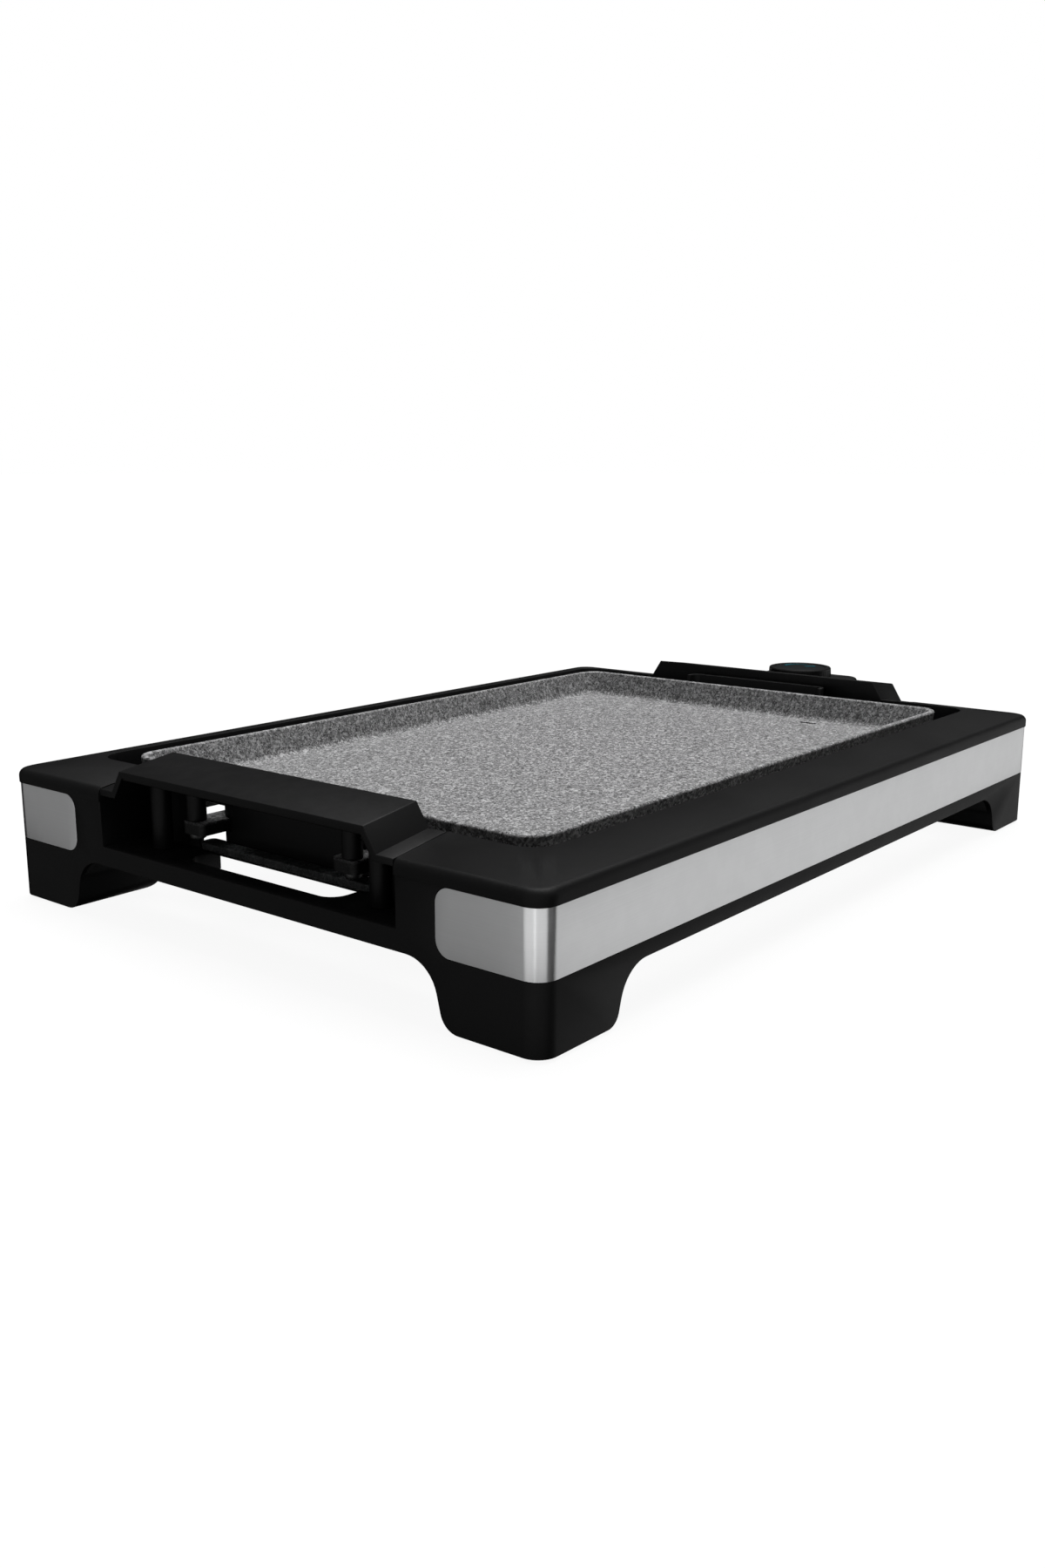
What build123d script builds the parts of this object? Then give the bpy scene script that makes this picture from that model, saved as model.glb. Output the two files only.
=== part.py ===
"""Electric griddle: a coated plate with two bridge handles in a legged base, with a plug-in thermostat.

Lengths are in millimetres. Every piece is modelled about the centre of the base, with z = 0 at the bottom
of the moulded legs and +X towards the thermostat, and is moved once, when it is written, so that the
origin of the whole assembly is the centre of its bounding box at the plane it stands on.
"""

from build123d import *
import os

# Base
BASE_LENGTH = 465.5
BASE_WIDTH = 330.0
BASE_CORNER = 8.8
WALL = 3.0
RIM_PROUD = 0.6
BAND_BOTTOM = 29.2
BAND_TOP = 56.9
BAND_SHEET = 0.8
BAND_END_Y = 114.2
BAND_END_ROUND = 7.0
SHOULDER_Z = 63.2
SHOULDER_ROUND = 3.5
RIM_INNER_Z = 67.7
OPENING_LENGTH = 404.4
OPENING_WIDTH = 277.0
OPENING_CORNER = 12.0
CURTAIN_BOTTOM = 34.0
LONG_SIDE_UNDERSIDE = 22.5
SHORT_SIDE_UNDERSIDE = 26.5
WEB_PITCH = 70.0
WEB_BOTTOM = 42.0
LEG_X = 187.0
LEG_Y = 118.0
LEG_SLANT = 6.5
LEG_ROUND_LONG = 7.0
LEG_ROUND_SHORT = 9.0
ARCH_ROUND_LONG = 17.0
ARCH_ROUND_SHORT = 16.0
FOOT_DROP = 1.5
FOOT_RADIUS = 7.0
FOOT_X = 221.5
FOOT_Y = 154.0
FOOT_SEAT_TOP = 2.0
FOOT_SCREW_HEAD = 3.0
FOOT_SCREW_SHANK = 1.7
CROSS_RIB_X = 108.0
CROSS_RIB_THICK = 6.0
CROSS_RIB_TOP = 37.0

# Recess under each handle
RECESS_HALF = 93.8
SHELF_Z = 35.6
SHELF_THICK = 3.0
SHELF_INNER_X = 201.5
GRIP_CUT_X = 221.7
GRIP_CUT_HALF = 47.8
GRIP_CUT_ROUND = 8.0
RECESS_WALL_Y = 58.2
RECESS_WALL_STEP_Y = 56.2
RECESS_WALL_STEP_Z = 40.3
RECESS_WALL_TOP = 63.3

# Griddle plate
PLATE_LENGTH = 382.0
PLATE_WIDTH = 256.0
PLATE_CORNER = 13.0
PLATE_TOP = 68.1
PLATE_FLOOR = 54.0
PLATE_UNDER = 51.0
PLATE_WALL = 3.2
PLATE_DRAFT = 2.2
PLATE_SLOPE = 5.0
PLATE_FOOT_ROUND = 4.0
PLATE_RIM_ROUND = 1.2
LUG_ROOT_X = 172.0
LUG_ROUND = 3.0
LUG_Y = 48.5
LUG_HALF = 7.0
LUG_BOTTOM = 45.5
LUG_TOP = 51.3
LUG_END_X = 216.5
DRAIN_X = 170.5
DRAIN_Y = -52.0
DRAIN_LENGTH = 8.0
DRAIN_WIDTH = 3.6

# Heating element, terminals and sensor
ELEMENT_Z = 47.5
ELEMENT_RADIUS = 3.5
ELEMENT_RUN_Y = 85.0
ELEMENT_NEAR_X = -148.0
ELEMENT_FAR_X = 158.0
ELEMENT_BEND = 20.0
ELEMENT_END_X = 200.0
RIDGE_WIDTH = 12.0
RIDGE_COVER = 1.5
RIDGE_END_X = 187.0
TERMINAL_Y = 14.0
SLEEVE_START_X = 136.0
SLEEVE_END_X = 193.0
SLEEVE_RADIUS = 5.0
SLEEVE_BORE = 3.3
REFLECTOR_LENGTH = 304.0
REFLECTOR_WIDTH = 204.0
REFLECTOR_CORNER = 14.0
REFLECTOR_Z = 38.6
REFLECTOR_RIM = 3.0
REFLECTOR_SHEET = 0.6
STUD_X = 110.0
STUD_Y = 40.0
STUD_RADIUS = 4.5
STUD_BORE = 1.6
PIN_RADIUS = 2.2
PIN_END_X = 221.0
BEAD_RADIUS = 5.2
BEAD_LENGTH = 6.0

# Handles
HANDLE_OUTER_X = BASE_LENGTH / 2
HANDLE_INNER_X = 202.6
HANDLE_FRONT_Z = 73.3
HANDLE_BACK_Z = 77.7
HANDLE_TOP_HALF = 77.5
HANDLE_FOOT_HALF = 84.0
FLANGE_HALF = 93.2
FLANGE_FRONT_Z = 63.0
FLANGE_BACK_Z = 67.6
HANDLE_WALL = 3.0
LIP_DROP = 4.0
LIP_THICK = 2.6
LIP_STEP_DEPTH = 0.7
LIP_STEP_HEIGHT = 1.8
BACK_LIP_DROP = 6.5
APRON_Y = 47.0
APRON_BOTTOM = 64.4
APRON_INSET = 1.2
POST_X = 216.2
POST_Y = 70.1
POST_RADIUS = 4.65
BOSS_X = 212.0
BOSS_Y = 50.0
BOSS_RADIUS = 4.4
BOSS_BORE = 1.6
BOSS_BORE_DEPTH = 14.0
HANDLE_SCREW_HEAD = 3.6
HANDLE_SCREW_DROP = 2.4

# Shroud panels under the handles
SHROUD_X = 200.6
SHROUD_HALF = 49.0
SHROUD_ROUND = 7.0
SHROUD_DEPTH = 9.0
SHROUD_BOTTOM = 39.5
SHROUD_TOP = 72.0
SHROUD_WALL = 2.5
SHROUD_TONGUE_HALF = 30.0
SHROUD_WINDOW_HALF = 26.0
GRIP_BAR_X = 207.5
GRIP_BAR_DEPTH = 9.0
GRIP_BAR_HALF = 55.8
GRIP_BAR_THICK = 3.6

# Thermostat
PROBE_END_X = 282.0
PROBE_BODY_X = 236.5
PROBE_HALF = 33.0
PROBE_CORNER = 10.0
PROBE_BOTTOM = 43.0
PROBE_SPLIT = 56.0
PROBE_TOP = 68.0
PROBE_WALL = 2.2
PROBE_SCREW_INSET = 8.0
NOSE_X = 203.5
NOSE_HALF = 24.0
NOSE_BOTTOM = 41.0
NOSE_TOP = 57.5
LENS_X = 264.0
LENS_Y = 25.5
CORD_Z = 51.5
GLAND_RADIUS = 4.5
GLAND_BORE = 3.4
ROD_RADIUS = 3.0
ROD_START_X = 142.0
SOCKET_RADIUS = 3.2
BLADE_START_X = 243.0
BLADE_END_X = 270.0
BLADE_THICK = 0.4
BLADE_LOW_Z = 55.0
BLADE_HIGH_Z = 57.4
CONTACT_X = 267.5
CONTACT_Y = 5.5
KNOB_X = 255.5
KNOB_RADIUS = 20.7
KNOB_BOTTOM = 68.6
KNOB_TOP = 75.0
KNOB_SKIN = 2.2
KNOB_CAP_RADIUS = 16.5
KNOB_CAP_DROP = 0.2
KNOB_SEAT_DEPTH = 1.0
SHAFT_RADIUS = 2.5
SHAFT_FOOT = 58.5
POINTER_START = 3.0
POINTER_END = 10.0
POINTER_WIDTH = 2.4
POINTER_TURN = -50.0

# Drip tray
TRAY_INNER_X = 122.0
TRAY_OUTER_X = 226.0
TRAY_HALF = 76.0
TRAY_BOTTOM = 9.5
TRAY_TOP = 25.0
TRAY_WALL = 2.0
TRAY_CORNER = 10.0
TRAY_RIM = 6.0
TRAY_PULL_HALF = 34.0
TRAY_PULL_DEPTH = 8.0
TRAY_PULL_THICK = 2.4
RAIL_GAP = 2.5
RAIL_WIDTH = 7.0
RAIL_END_X = 230.0

SHIFT = Pos(-(PROBE_END_X - BASE_LENGTH / 2 - RIM_PROUD) / 2, 0, FOOT_DROP)


def slab(x0, x1, y0, y1, z0, z1):
    """Box between two corners."""
    return Pos((x0 + x1) / 2, (y0 + y1) / 2, (z0 + z1) / 2) * Box(abs(x1 - x0), abs(y1 - y0), abs(z1 - z0))


def upright(x, y, radius, z0, z1):
    """Vertical cylinder from z0 to z1."""
    return Pos(x, y, (z0 + z1) / 2) * Cylinder(radius, z1 - z0)


def lengthwise(x0, x1, y, z, radius):
    """Cylinder along X from x0 to x1."""
    return Pos((x0 + x1) / 2, y, z) * Rot(0, 90, 0) * Cylinder(radius, x1 - x0)


def rounded_prism(length, width, radius, z0, z1):
    """Rounded rectangle about the Z axis, from z0 to z1."""
    return Pos(0, 0, z0) * extrude(RectangleRounded(length, width, radius), z1 - z0)


def rounded_taper(lower, upper, z0, z1):
    """Ruled solid between two rounded rectangles, each (length, width, corner radius)."""
    sections = [Pos(0, 0, z0) * RectangleRounded(*lower), Pos(0, 0, z1) * RectangleRounded(*upper)]
    return loft(sections, ruled=True)


def outline(points, rounds):
    """Closed flat outline, with the corners nearest the given points rounded."""
    face = make_face(Polyline(*points, close=True))
    for x, y, radius in rounds:
        corner = face.vertices().sort_by_distance(Vector(x, y, 0))[0]
        face = fillet(corner, radius)
    return face


def both_ends(piece):
    """The piece at +X together with its mirror image at -X."""
    return piece + mirror(piece, Plane.YZ)


def both_sides(piece):
    """The piece at +Y together with its mirror image at -Y."""
    return piece + mirror(piece, Plane.XZ)


def four(piece):
    """The piece repeated at all four corners."""
    return both_ends(both_sides(piece))


def leg_gap(half, underside, bottom_round, top_round, reach):
    """Outline of the space between two legs, flared round the legs' lower corners."""
    top_half = half - LEG_SLANT
    points = [
        (-reach, -8), (-reach, 0), (-half, 0), (-top_half, underside),
        (top_half, underside), (half, 0), (reach, 0), (reach, -8),
    ]
    rounds = [
        (-half, 0, bottom_round), (half, 0, bottom_round),
        (-top_half, underside, top_round), (top_half, underside, top_round),
    ]
    return outline(points, rounds)


def band_zone(clearance):
    """Block that holds the front side's steel band, with the band's rounded free ends."""
    bottom = BAND_BOTTOM - clearance
    top = BAND_TOP + clearance
    inner = -BAND_END_Y + clearance
    outer = -BASE_WIDTH / 2 - 20
    points = [(outer, bottom), (inner, bottom), (inner, top), (outer, top)]
    rounds = [(inner, bottom, BAND_END_ROUND), (inner, top, BAND_END_ROUND)]
    return extrude(Plane.YZ * outline(points, rounds), BASE_LENGTH, both=True)


def base_skin():
    """Outer skin of the base: vertical sides, an overhanging rim and a top that rises towards the plate."""
    lower = rounded_prism(BASE_LENGTH, BASE_WIDTH, BASE_CORNER, 0, BAND_TOP + 1)
    rim_length = BASE_LENGTH + 2 * RIM_PROUD
    rim_width = BASE_WIDTH + 2 * RIM_PROUD
    rim_corner = BASE_CORNER + RIM_PROUD
    rim = rounded_prism(rim_length, rim_width, rim_corner, BAND_TOP, SHOULDER_Z)
    rise = rounded_taper(
        (rim_length, rim_width, rim_corner), (OPENING_LENGTH, OPENING_WIDTH, OPENING_CORNER), SHOULDER_Z,
        RIM_INNER_Z,
    )
    top = rim + rise
    shoulder = top.edges().filter_by(lambda e: abs(e.center().Z - SHOULDER_Z) < 0.01)
    return lower + fillet(shoulder, SHOULDER_ROUND)


def base_cavity():
    """Hollow inside the base, open below, one wall thickness inside the skin."""
    length = BASE_LENGTH - 2 * WALL
    width = BASE_WIDTH - 2 * WALL
    corner = BASE_CORNER - WALL
    straight = rounded_prism(length, width, corner, -1, SHOULDER_Z - WALL)
    rise = rounded_taper(
        (length, width, corner), (OPENING_LENGTH, OPENING_WIDTH, OPENING_CORNER),
        SHOULDER_Z - WALL, RIM_INNER_Z - WALL,
    )
    return straight + rise


def end_shelf():
    """Shelf at +X that the handle's posts stand on, with a cut for the fingers and recess walls."""
    outer = BASE_LENGTH / 2 - 1
    side = RECESS_HALF + WALL
    block = slab(SHELF_INNER_X, outer, -side, side, SHORT_SIDE_UNDERSIDE, SHELF_Z)
    cheek = slab(OPENING_LENGTH / 2, outer, RECESS_HALF, side, SHORT_SIDE_UNDERSIDE, RIM_INNER_Z + 4)
    cut = [
        (SHELF_INNER_X - 5, -GRIP_CUT_HALF), (GRIP_CUT_X, -GRIP_CUT_HALF),
        (GRIP_CUT_X, GRIP_CUT_HALF), (SHELF_INNER_X - 5, GRIP_CUT_HALF),
    ]
    rounds = [(GRIP_CUT_X, -GRIP_CUT_HALF, GRIP_CUT_ROUND), (GRIP_CUT_X, GRIP_CUT_HALF, GRIP_CUT_ROUND)]
    grip_cut = Pos(0, 0, SHORT_SIDE_UNDERSIDE - 5) * extrude(outline(cut, rounds), 30)
    pocket = both_sides(
        slab(
            SHELF_INNER_X + WALL, outer + 1 - WALL, GRIP_CUT_HALF + WALL, RECESS_HALF,
            SHORT_SIDE_UNDERSIDE - 1, SHELF_Z - SHELF_THICK,
        )
    )
    return block + both_sides(cheek) - grip_cut - pocket


def leg_columns():
    """Four hollow corner columns behind the legs, closed at the bottom where the feet go."""
    inset = WALL - 1
    column = slab(LEG_X - 4, BASE_LENGTH / 2 - inset, LEG_Y - 5, BASE_WIDTH / 2 - inset, 0, CURTAIN_BOTTOM)
    column &= rounded_prism(BASE_LENGTH - 2, BASE_WIDTH - 2, BASE_CORNER - 1, 0, CURTAIN_BOTTOM)
    pocket = slab(LEG_X + 5, BASE_LENGTH / 2 - WALL - 1, LEG_Y + 5, BASE_WIDTH / 2 - WALL - 1, 5, 60)
    foot_seat = upright(FOOT_X, FOOT_Y, FOOT_RADIUS + 0.05, -1, FOOT_SEAT_TOP)
    screw_hole = upright(FOOT_X, FOOT_Y, FOOT_SCREW_SHANK + 0.1, 1, 7)
    return four(column), four(pocket + foot_seat + screw_hole)


def base_frame():
    """One-piece moulded base."""
    columns, column_cuts = leg_columns()
    curtain = rounded_prism(
        OPENING_LENGTH + 2 * WALL, OPENING_WIDTH + 2 * WALL, OPENING_CORNER + WALL, CURTAIN_BOTTOM,
        RIM_INNER_Z - 1,
    )
    opening_plan = (OPENING_LENGTH, OPENING_WIDTH, OPENING_CORNER)
    opening = rounded_prism(*opening_plan, CURTAIN_BOTTOM - 1, RIM_INNER_Z + 5)
    skin = base_skin()
    shelves = both_ends(end_shelf()) & rounded_prism(BASE_LENGTH + 1, BASE_WIDTH, 1, 0, 80)
    shelves -= base_skin_above()
    frame = skin - base_cavity() + (curtain & skin) + (side_webs() & skin) - opening + columns
    recess = both_ends(slab(SHELF_INNER_X - 6, BASE_LENGTH / 2 + 5, -RECESS_HALF, RECESS_HALF, SHELF_Z, 90))
    wall_x = OPENING_LENGTH / 2
    recess -= four(slab(wall_x, wall_x + WALL, RECESS_WALL_Y, RECESS_HALF + 1, SHELF_Z - 1, RECESS_WALL_TOP))
    recess -= four(
        slab(wall_x, wall_x + WALL, RECESS_WALL_STEP_Y, RECESS_HALF + 1, RECESS_WALL_STEP_Z, RECESS_WALL_TOP)
    )
    frame = frame - recess + shelves + tray_cross_rib()
    long_gap = leg_gap(LEG_X, LONG_SIDE_UNDERSIDE, LEG_ROUND_LONG, ARCH_ROUND_LONG, LEG_X + 18)
    short_gap = leg_gap(LEG_Y, SHORT_SIDE_UNDERSIDE, LEG_ROUND_SHORT, ARCH_ROUND_SHORT, LEG_Y + 17)
    frame -= extrude(Plane.XZ * long_gap, BASE_WIDTH, both=True)
    frame -= extrude(Plane.YZ * short_gap, BASE_LENGTH, both=True)
    frame -= column_cuts
    groove = rounded_prism(BASE_LENGTH + 6, BASE_WIDTH + 6, BASE_CORNER + 3, BAND_BOTTOM - 5, BAND_TOP)
    groove -= rounded_prism(
        BASE_LENGTH - 2 * BAND_SHEET, BASE_WIDTH - 2 * BAND_SHEET, BASE_CORNER - BAND_SHEET, BAND_BOTTOM - 6,
        60,
    )
    front_groove = groove & band_zone(0)
    return frame - front_groove - mirror(front_groove, Plane.XZ)


def base_skin_above():
    """Space above the sloping top, used to trim what is added inside the base."""
    return rounded_prism(BASE_LENGTH + 40, BASE_WIDTH + 40, 5, SHOULDER_Z - 8, 110) - rounded_prism(
        BASE_LENGTH, BASE_WIDTH, BASE_CORNER, 0, SHOULDER_Z - 1
    ) - rounded_taper(
        (BASE_LENGTH, BASE_WIDTH, BASE_CORNER), (OPENING_LENGTH, OPENING_WIDTH, OPENING_CORNER),
        SHOULDER_Z - 1, RIM_INNER_Z - 0.1,
    )


def side_webs():
    """Stiffening webs between the outer skin and the curtain along both long sides."""
    webs = [
        slab(x - 1, x + 1, OPENING_WIDTH / 2 + 1, BASE_WIDTH / 2 - 1, WEB_BOTTOM, RIM_INNER_Z)
        for x in (-2 * WEB_PITCH, -WEB_PITCH, 0, WEB_PITCH, 2 * WEB_PITCH)
    ]
    return both_sides(Compound(children=webs))


def tray_cross_rib():
    """Rib across the base that carries the inner ends of the tray's rails."""
    half = BASE_WIDTH / 2 - WALL / 2
    return slab(CROSS_RIB_X, CROSS_RIB_X + CROSS_RIB_THICK, -half, half, SHORT_SIDE_UNDERSIDE, CROSS_RIB_TOP)


def steel_band():
    """Steel band of the front side, bent round both corners."""
    sheet = rounded_prism(BASE_LENGTH, BASE_WIDTH, BASE_CORNER, BAND_BOTTOM, BAND_TOP)
    sheet -= rounded_prism(
        BASE_LENGTH - 2 * BAND_SHEET, BASE_WIDTH - 2 * BAND_SHEET, BASE_CORNER - BAND_SHEET, 0, 80
    )
    return sheet & band_zone(-0.1)


def feet():
    """Four rubber feet, each a disc with a rounded lower edge and a hole for its screw."""
    foot = upright(FOOT_X, FOOT_Y, FOOT_RADIUS, -FOOT_DROP, FOOT_SEAT_TOP)
    foot = fillet(foot.edges().group_by(Axis.Z)[0], 1.0)
    foot -= upright(FOOT_X, FOOT_Y, FOOT_SCREW_HEAD + 0.2, -3, 0.2)
    foot -= upright(FOOT_X, FOOT_Y, FOOT_SCREW_SHANK + 0.2, -1, 3)
    return four(foot)


def foot_screws():
    """Screw in each foot, its head sunk in the rubber."""
    head = upright(FOOT_X, FOOT_Y, FOOT_SCREW_HEAD, -1.0, 0.2)
    shank = upright(FOOT_X, FOOT_Y, FOOT_SCREW_SHANK, 0, 9)
    return four(head + shank)


def element_path(z):
    """Centre line of the element: from one terminal round the plate to the other."""
    end_x = ELEMENT_END_X
    points = [
        (end_x, TERMINAL_Y, z), (ELEMENT_FAR_X, TERMINAL_Y, z), (ELEMENT_FAR_X, ELEMENT_RUN_Y, z),
        (ELEMENT_NEAR_X, ELEMENT_RUN_Y, z), (ELEMENT_NEAR_X, -ELEMENT_RUN_Y, z),
        (ELEMENT_FAR_X, -ELEMENT_RUN_Y, z), (ELEMENT_FAR_X, -TERMINAL_Y, z), (end_x, -TERMINAL_Y, z),
    ]
    return FilletPolyline(*points, radius=ELEMENT_BEND)


def element_tube(radius):
    """Round bar along the element's path."""
    path = element_path(ELEMENT_Z)
    return sweep(Plane(origin=path @ 0, z_dir=path % 0) * Circle(radius), path=path)


def element_ridge():
    """Ridge under the plate that the element is cast into."""
    path = element_path(ELEMENT_Z)
    top = PLATE_UNDER + 0.5
    bottom = ELEMENT_Z - ELEMENT_RADIUS - RIDGE_COVER
    centre = (top + bottom) / 2 - ELEMENT_Z
    start = Plane(origin=path @ 0, x_dir=(0, 1, 0), z_dir=path % 0)
    section = start * Pos(0, centre if start.y_dir.Z > 0 else -centre) * Rectangle(RIDGE_WIDTH, top - bottom)
    ridge = sweep(section, path=path)
    return ridge - slab(RIDGE_END_X, ELEMENT_END_X + 15, -40, 40, 30, 60)


def griddle_plate():
    """Cast plate: a shallow tray with a drained floor, an element ridge, four lugs and a sensor housing."""
    foot_length = PLATE_LENGTH - 2 * PLATE_DRAFT
    foot_width = PLATE_WIDTH - 2 * PLATE_DRAFT
    shell = rounded_taper(
        (foot_length, foot_width, PLATE_CORNER - PLATE_DRAFT), (PLATE_LENGTH, PLATE_WIDTH, PLATE_CORNER),
        PLATE_UNDER, PLATE_TOP,
    )
    shell = fillet(shell.edges().group_by(Axis.Z)[0], PLATE_FOOT_ROUND)
    mouth_length = PLATE_LENGTH - 2 * PLATE_WALL
    mouth_width = PLATE_WIDTH - 2 * PLATE_WALL
    mouth_corner = PLATE_CORNER - PLATE_WALL
    hollow = rounded_taper(
        (mouth_length - 2 * PLATE_SLOPE, mouth_width - 2 * PLATE_SLOPE, mouth_corner - PLATE_SLOPE + 1),
        (mouth_length, mouth_width, mouth_corner), PLATE_FLOOR, PLATE_TOP + 0.01,
    )
    hollow = fillet(hollow.edges().group_by(Axis.Z)[0], PLATE_FOOT_ROUND)
    plate = shell - hollow
    rim = plate.edges().group_by(Axis.Z)[-1]
    plate = fillet(rim, PLATE_RIM_ROUND)
    low_y = LUG_Y - LUG_HALF
    high_y = LUG_Y + LUG_HALF
    lug = outline(
        [(LUG_ROOT_X, low_y), (LUG_END_X, low_y), (LUG_END_X, high_y), (LUG_ROOT_X, high_y)],
        [(LUG_END_X, low_y, LUG_ROUND), (LUG_END_X, high_y, LUG_ROUND)],
    )
    lug = Pos(0, 0, LUG_BOTTOM) * extrude(lug, LUG_TOP - LUG_BOTTOM)
    lug -= upright(BOSS_X, BOSS_Y, 2.1, 40, 60)
    housing_half = SLEEVE_RADIUS + 3.5
    housing_low = ELEMENT_Z - SLEEVE_RADIUS - 0.8
    root_z = PLATE_UNDER + 0.5
    housing = slab(SLEEVE_START_X - 8, RIDGE_END_X, -housing_half, housing_half, housing_low, root_z)
    studs = four(upright(STUD_X, STUD_Y, STUD_RADIUS, REFLECTOR_Z + REFLECTOR_SHEET, root_z))
    plate = plate + four(lug) + element_ridge() + housing + studs
    plate -= lengthwise(SLEEVE_START_X, SLEEVE_END_X + 7, 0, ELEMENT_Z, SLEEVE_RADIUS)
    plate -= element_tube(ELEMENT_RADIUS)
    plate -= four(upright(STUD_X, STUD_Y, STUD_BORE, REFLECTOR_Z - 0.6, PLATE_UNDER - 2))
    drain = SlotCenterToCenter(DRAIN_LENGTH, DRAIN_WIDTH, rotation=90)
    return plate - Pos(DRAIN_X, DRAIN_Y, PLATE_UNDER - 2) * extrude(drain, 6)


def heating_element():
    """Tubular element, cast into the plate's ridge."""
    return element_tube(ELEMENT_RADIUS)


def pin_beads():
    """Ceramic bead at each end of the element."""
    start = RIDGE_END_X + 3
    end = start + BEAD_LENGTH
    bead = lengthwise(start, end, TERMINAL_Y, ELEMENT_Z, BEAD_RADIUS)
    return both_sides(bead - lengthwise(start - 1, end + 1, TERMINAL_Y, ELEMENT_Z, ELEMENT_RADIUS))


def terminal_pins():
    """Two round contact pins on the ends of the element."""
    pin = lengthwise(ELEMENT_END_X, PIN_END_X, TERMINAL_Y, ELEMENT_Z, PIN_RADIUS)
    pin = fillet(pin.edges().group_by(Axis.X)[-1], 1.6)
    return both_sides(pin)


def sensor_sleeve():
    """Metal sleeve in the plate that takes the thermostat's sensor rod."""
    sleeve = lengthwise(SLEEVE_START_X, SLEEVE_END_X, 0, ELEMENT_Z, SLEEVE_RADIUS)
    return sleeve - lengthwise(SLEEVE_START_X + 2, SLEEVE_END_X + 7, 0, ELEMENT_Z, SLEEVE_BORE)


def heat_reflector():
    """Sheet pan under the element, with turned-up edges and four fixing holes."""
    floor_top = REFLECTOR_Z + REFLECTOR_SHEET
    sheet = 2 * REFLECTOR_SHEET
    pan_plan = (REFLECTOR_LENGTH, REFLECTOR_WIDTH, REFLECTOR_CORNER)
    pan = rounded_prism(*pan_plan, REFLECTOR_Z, REFLECTOR_Z + REFLECTOR_RIM)
    pan -= rounded_prism(
        REFLECTOR_LENGTH - sheet, REFLECTOR_WIDTH - sheet, REFLECTOR_CORNER - REFLECTOR_SHEET, floor_top, 60
    )
    return pan - four(upright(STUD_X, STUD_Y, 2.0, REFLECTOR_Z - 1, 45))


def reflector_screws():
    """Screws that hold the reflector to the plate's studs."""
    head = upright(STUD_X, STUD_Y, 3.4, REFLECTOR_Z - 1.4, REFLECTOR_Z)
    return four(head + upright(STUD_X, STUD_Y, 1.55, REFLECTOR_Z - 0.5, 48.5))


def handle_section(x, top_z, flange_z, top_half, foot_half, drop):
    """Outline of the handle's sheet across the griddle, at a given X."""
    inner = HANDLE_WALL
    upper = [
        (-FLANGE_HALF, flange_z), (-foot_half, flange_z), (-top_half, top_z),
        (top_half, top_z), (foot_half, flange_z), (FLANGE_HALF, flange_z),
    ]
    under_z = flange_z - drop
    foot_y = foot_half - inner * 0.6
    top_y = top_half - inner * 0.6
    lower = [
        (FLANGE_HALF, under_z), (foot_y, under_z), (top_y, top_z - inner),
        (-top_y, top_z - inner), (-foot_y, under_z), (-FLANGE_HALF, under_z),
    ]
    return make_face(Polyline(*[(x, y, z) for y, z in upper + lower], close=True))


def bridge_handle():
    """Bridge handle at +X: a sloping shell with end flanges, two posts and two screw bosses."""
    outer = handle_section(
        HANDLE_OUTER_X, HANDLE_FRONT_Z, FLANGE_FRONT_Z, HANDLE_TOP_HALF, HANDLE_FOOT_HALF, HANDLE_WALL
    )
    inner = handle_section(
        HANDLE_INNER_X, HANDLE_BACK_Z, FLANGE_BACK_Z, HANDLE_TOP_HALF, HANDLE_FOOT_HALF, HANDLE_WALL
    )
    shell = loft([outer, inner], ruled=True)
    tilt = (HANDLE_BACK_Z - HANDLE_FRONT_Z) / (HANDLE_OUTER_X - HANDLE_INNER_X)

    def under(x):
        return HANDLE_BACK_Z - HANDLE_WALL - (x - HANDLE_INNER_X) * tilt

    lip_half = HANDLE_TOP_HALF - 1
    lip_back = HANDLE_OUTER_X - LIP_THICK
    lip_low = HANDLE_FRONT_Z - LIP_DROP
    lip_step = lip_low + LIP_STEP_HEIGHT
    front_lip = slab(lip_back, HANDLE_OUTER_X, -lip_half, lip_half, lip_step, HANDLE_FRONT_Z - 1)
    front_lip += slab(lip_back, HANDLE_OUTER_X - LIP_STEP_DEPTH, -lip_half, lip_half, lip_low, lip_step)
    back_lip = slab(
        HANDLE_INNER_X, HANDLE_INNER_X + LIP_THICK, -lip_half, lip_half, HANDLE_BACK_Z - BACK_LIP_DROP,
        HANDLE_BACK_Z - 1,
    )
    foot_y = HANDLE_FOOT_HALF - APRON_INSET
    top_z = HANDLE_BACK_Z - APRON_INSET
    apron = [
        (APRON_Y, APRON_BOTTOM), (foot_y, APRON_BOTTOM), (foot_y, FLANGE_BACK_Z - APRON_INSET),
        (HANDLE_TOP_HALF - APRON_INSET, top_z), (APRON_Y, top_z),
    ]
    apron_plane = Plane((HANDLE_INNER_X, 0, 0), x_dir=(0, 1, 0), z_dir=(1, 0, 0))
    apron = extrude(apron_plane * outline(apron, []), LIP_THICK)
    post = upright(POST_X, POST_Y, POST_RADIUS, SHELF_Z + 0.2, under(POST_X) + 0.4)
    boss = upright(BOSS_X, BOSS_Y, BOSS_RADIUS, LUG_TOP, under(BOSS_X) + 0.4)
    boss -= upright(BOSS_X, BOSS_Y, BOSS_BORE, LUG_TOP - 1, LUG_TOP + BOSS_BORE_DEPTH)
    return shell + front_lip + back_lip + both_sides(apron) + both_sides(post) + both_sides(boss)


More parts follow.
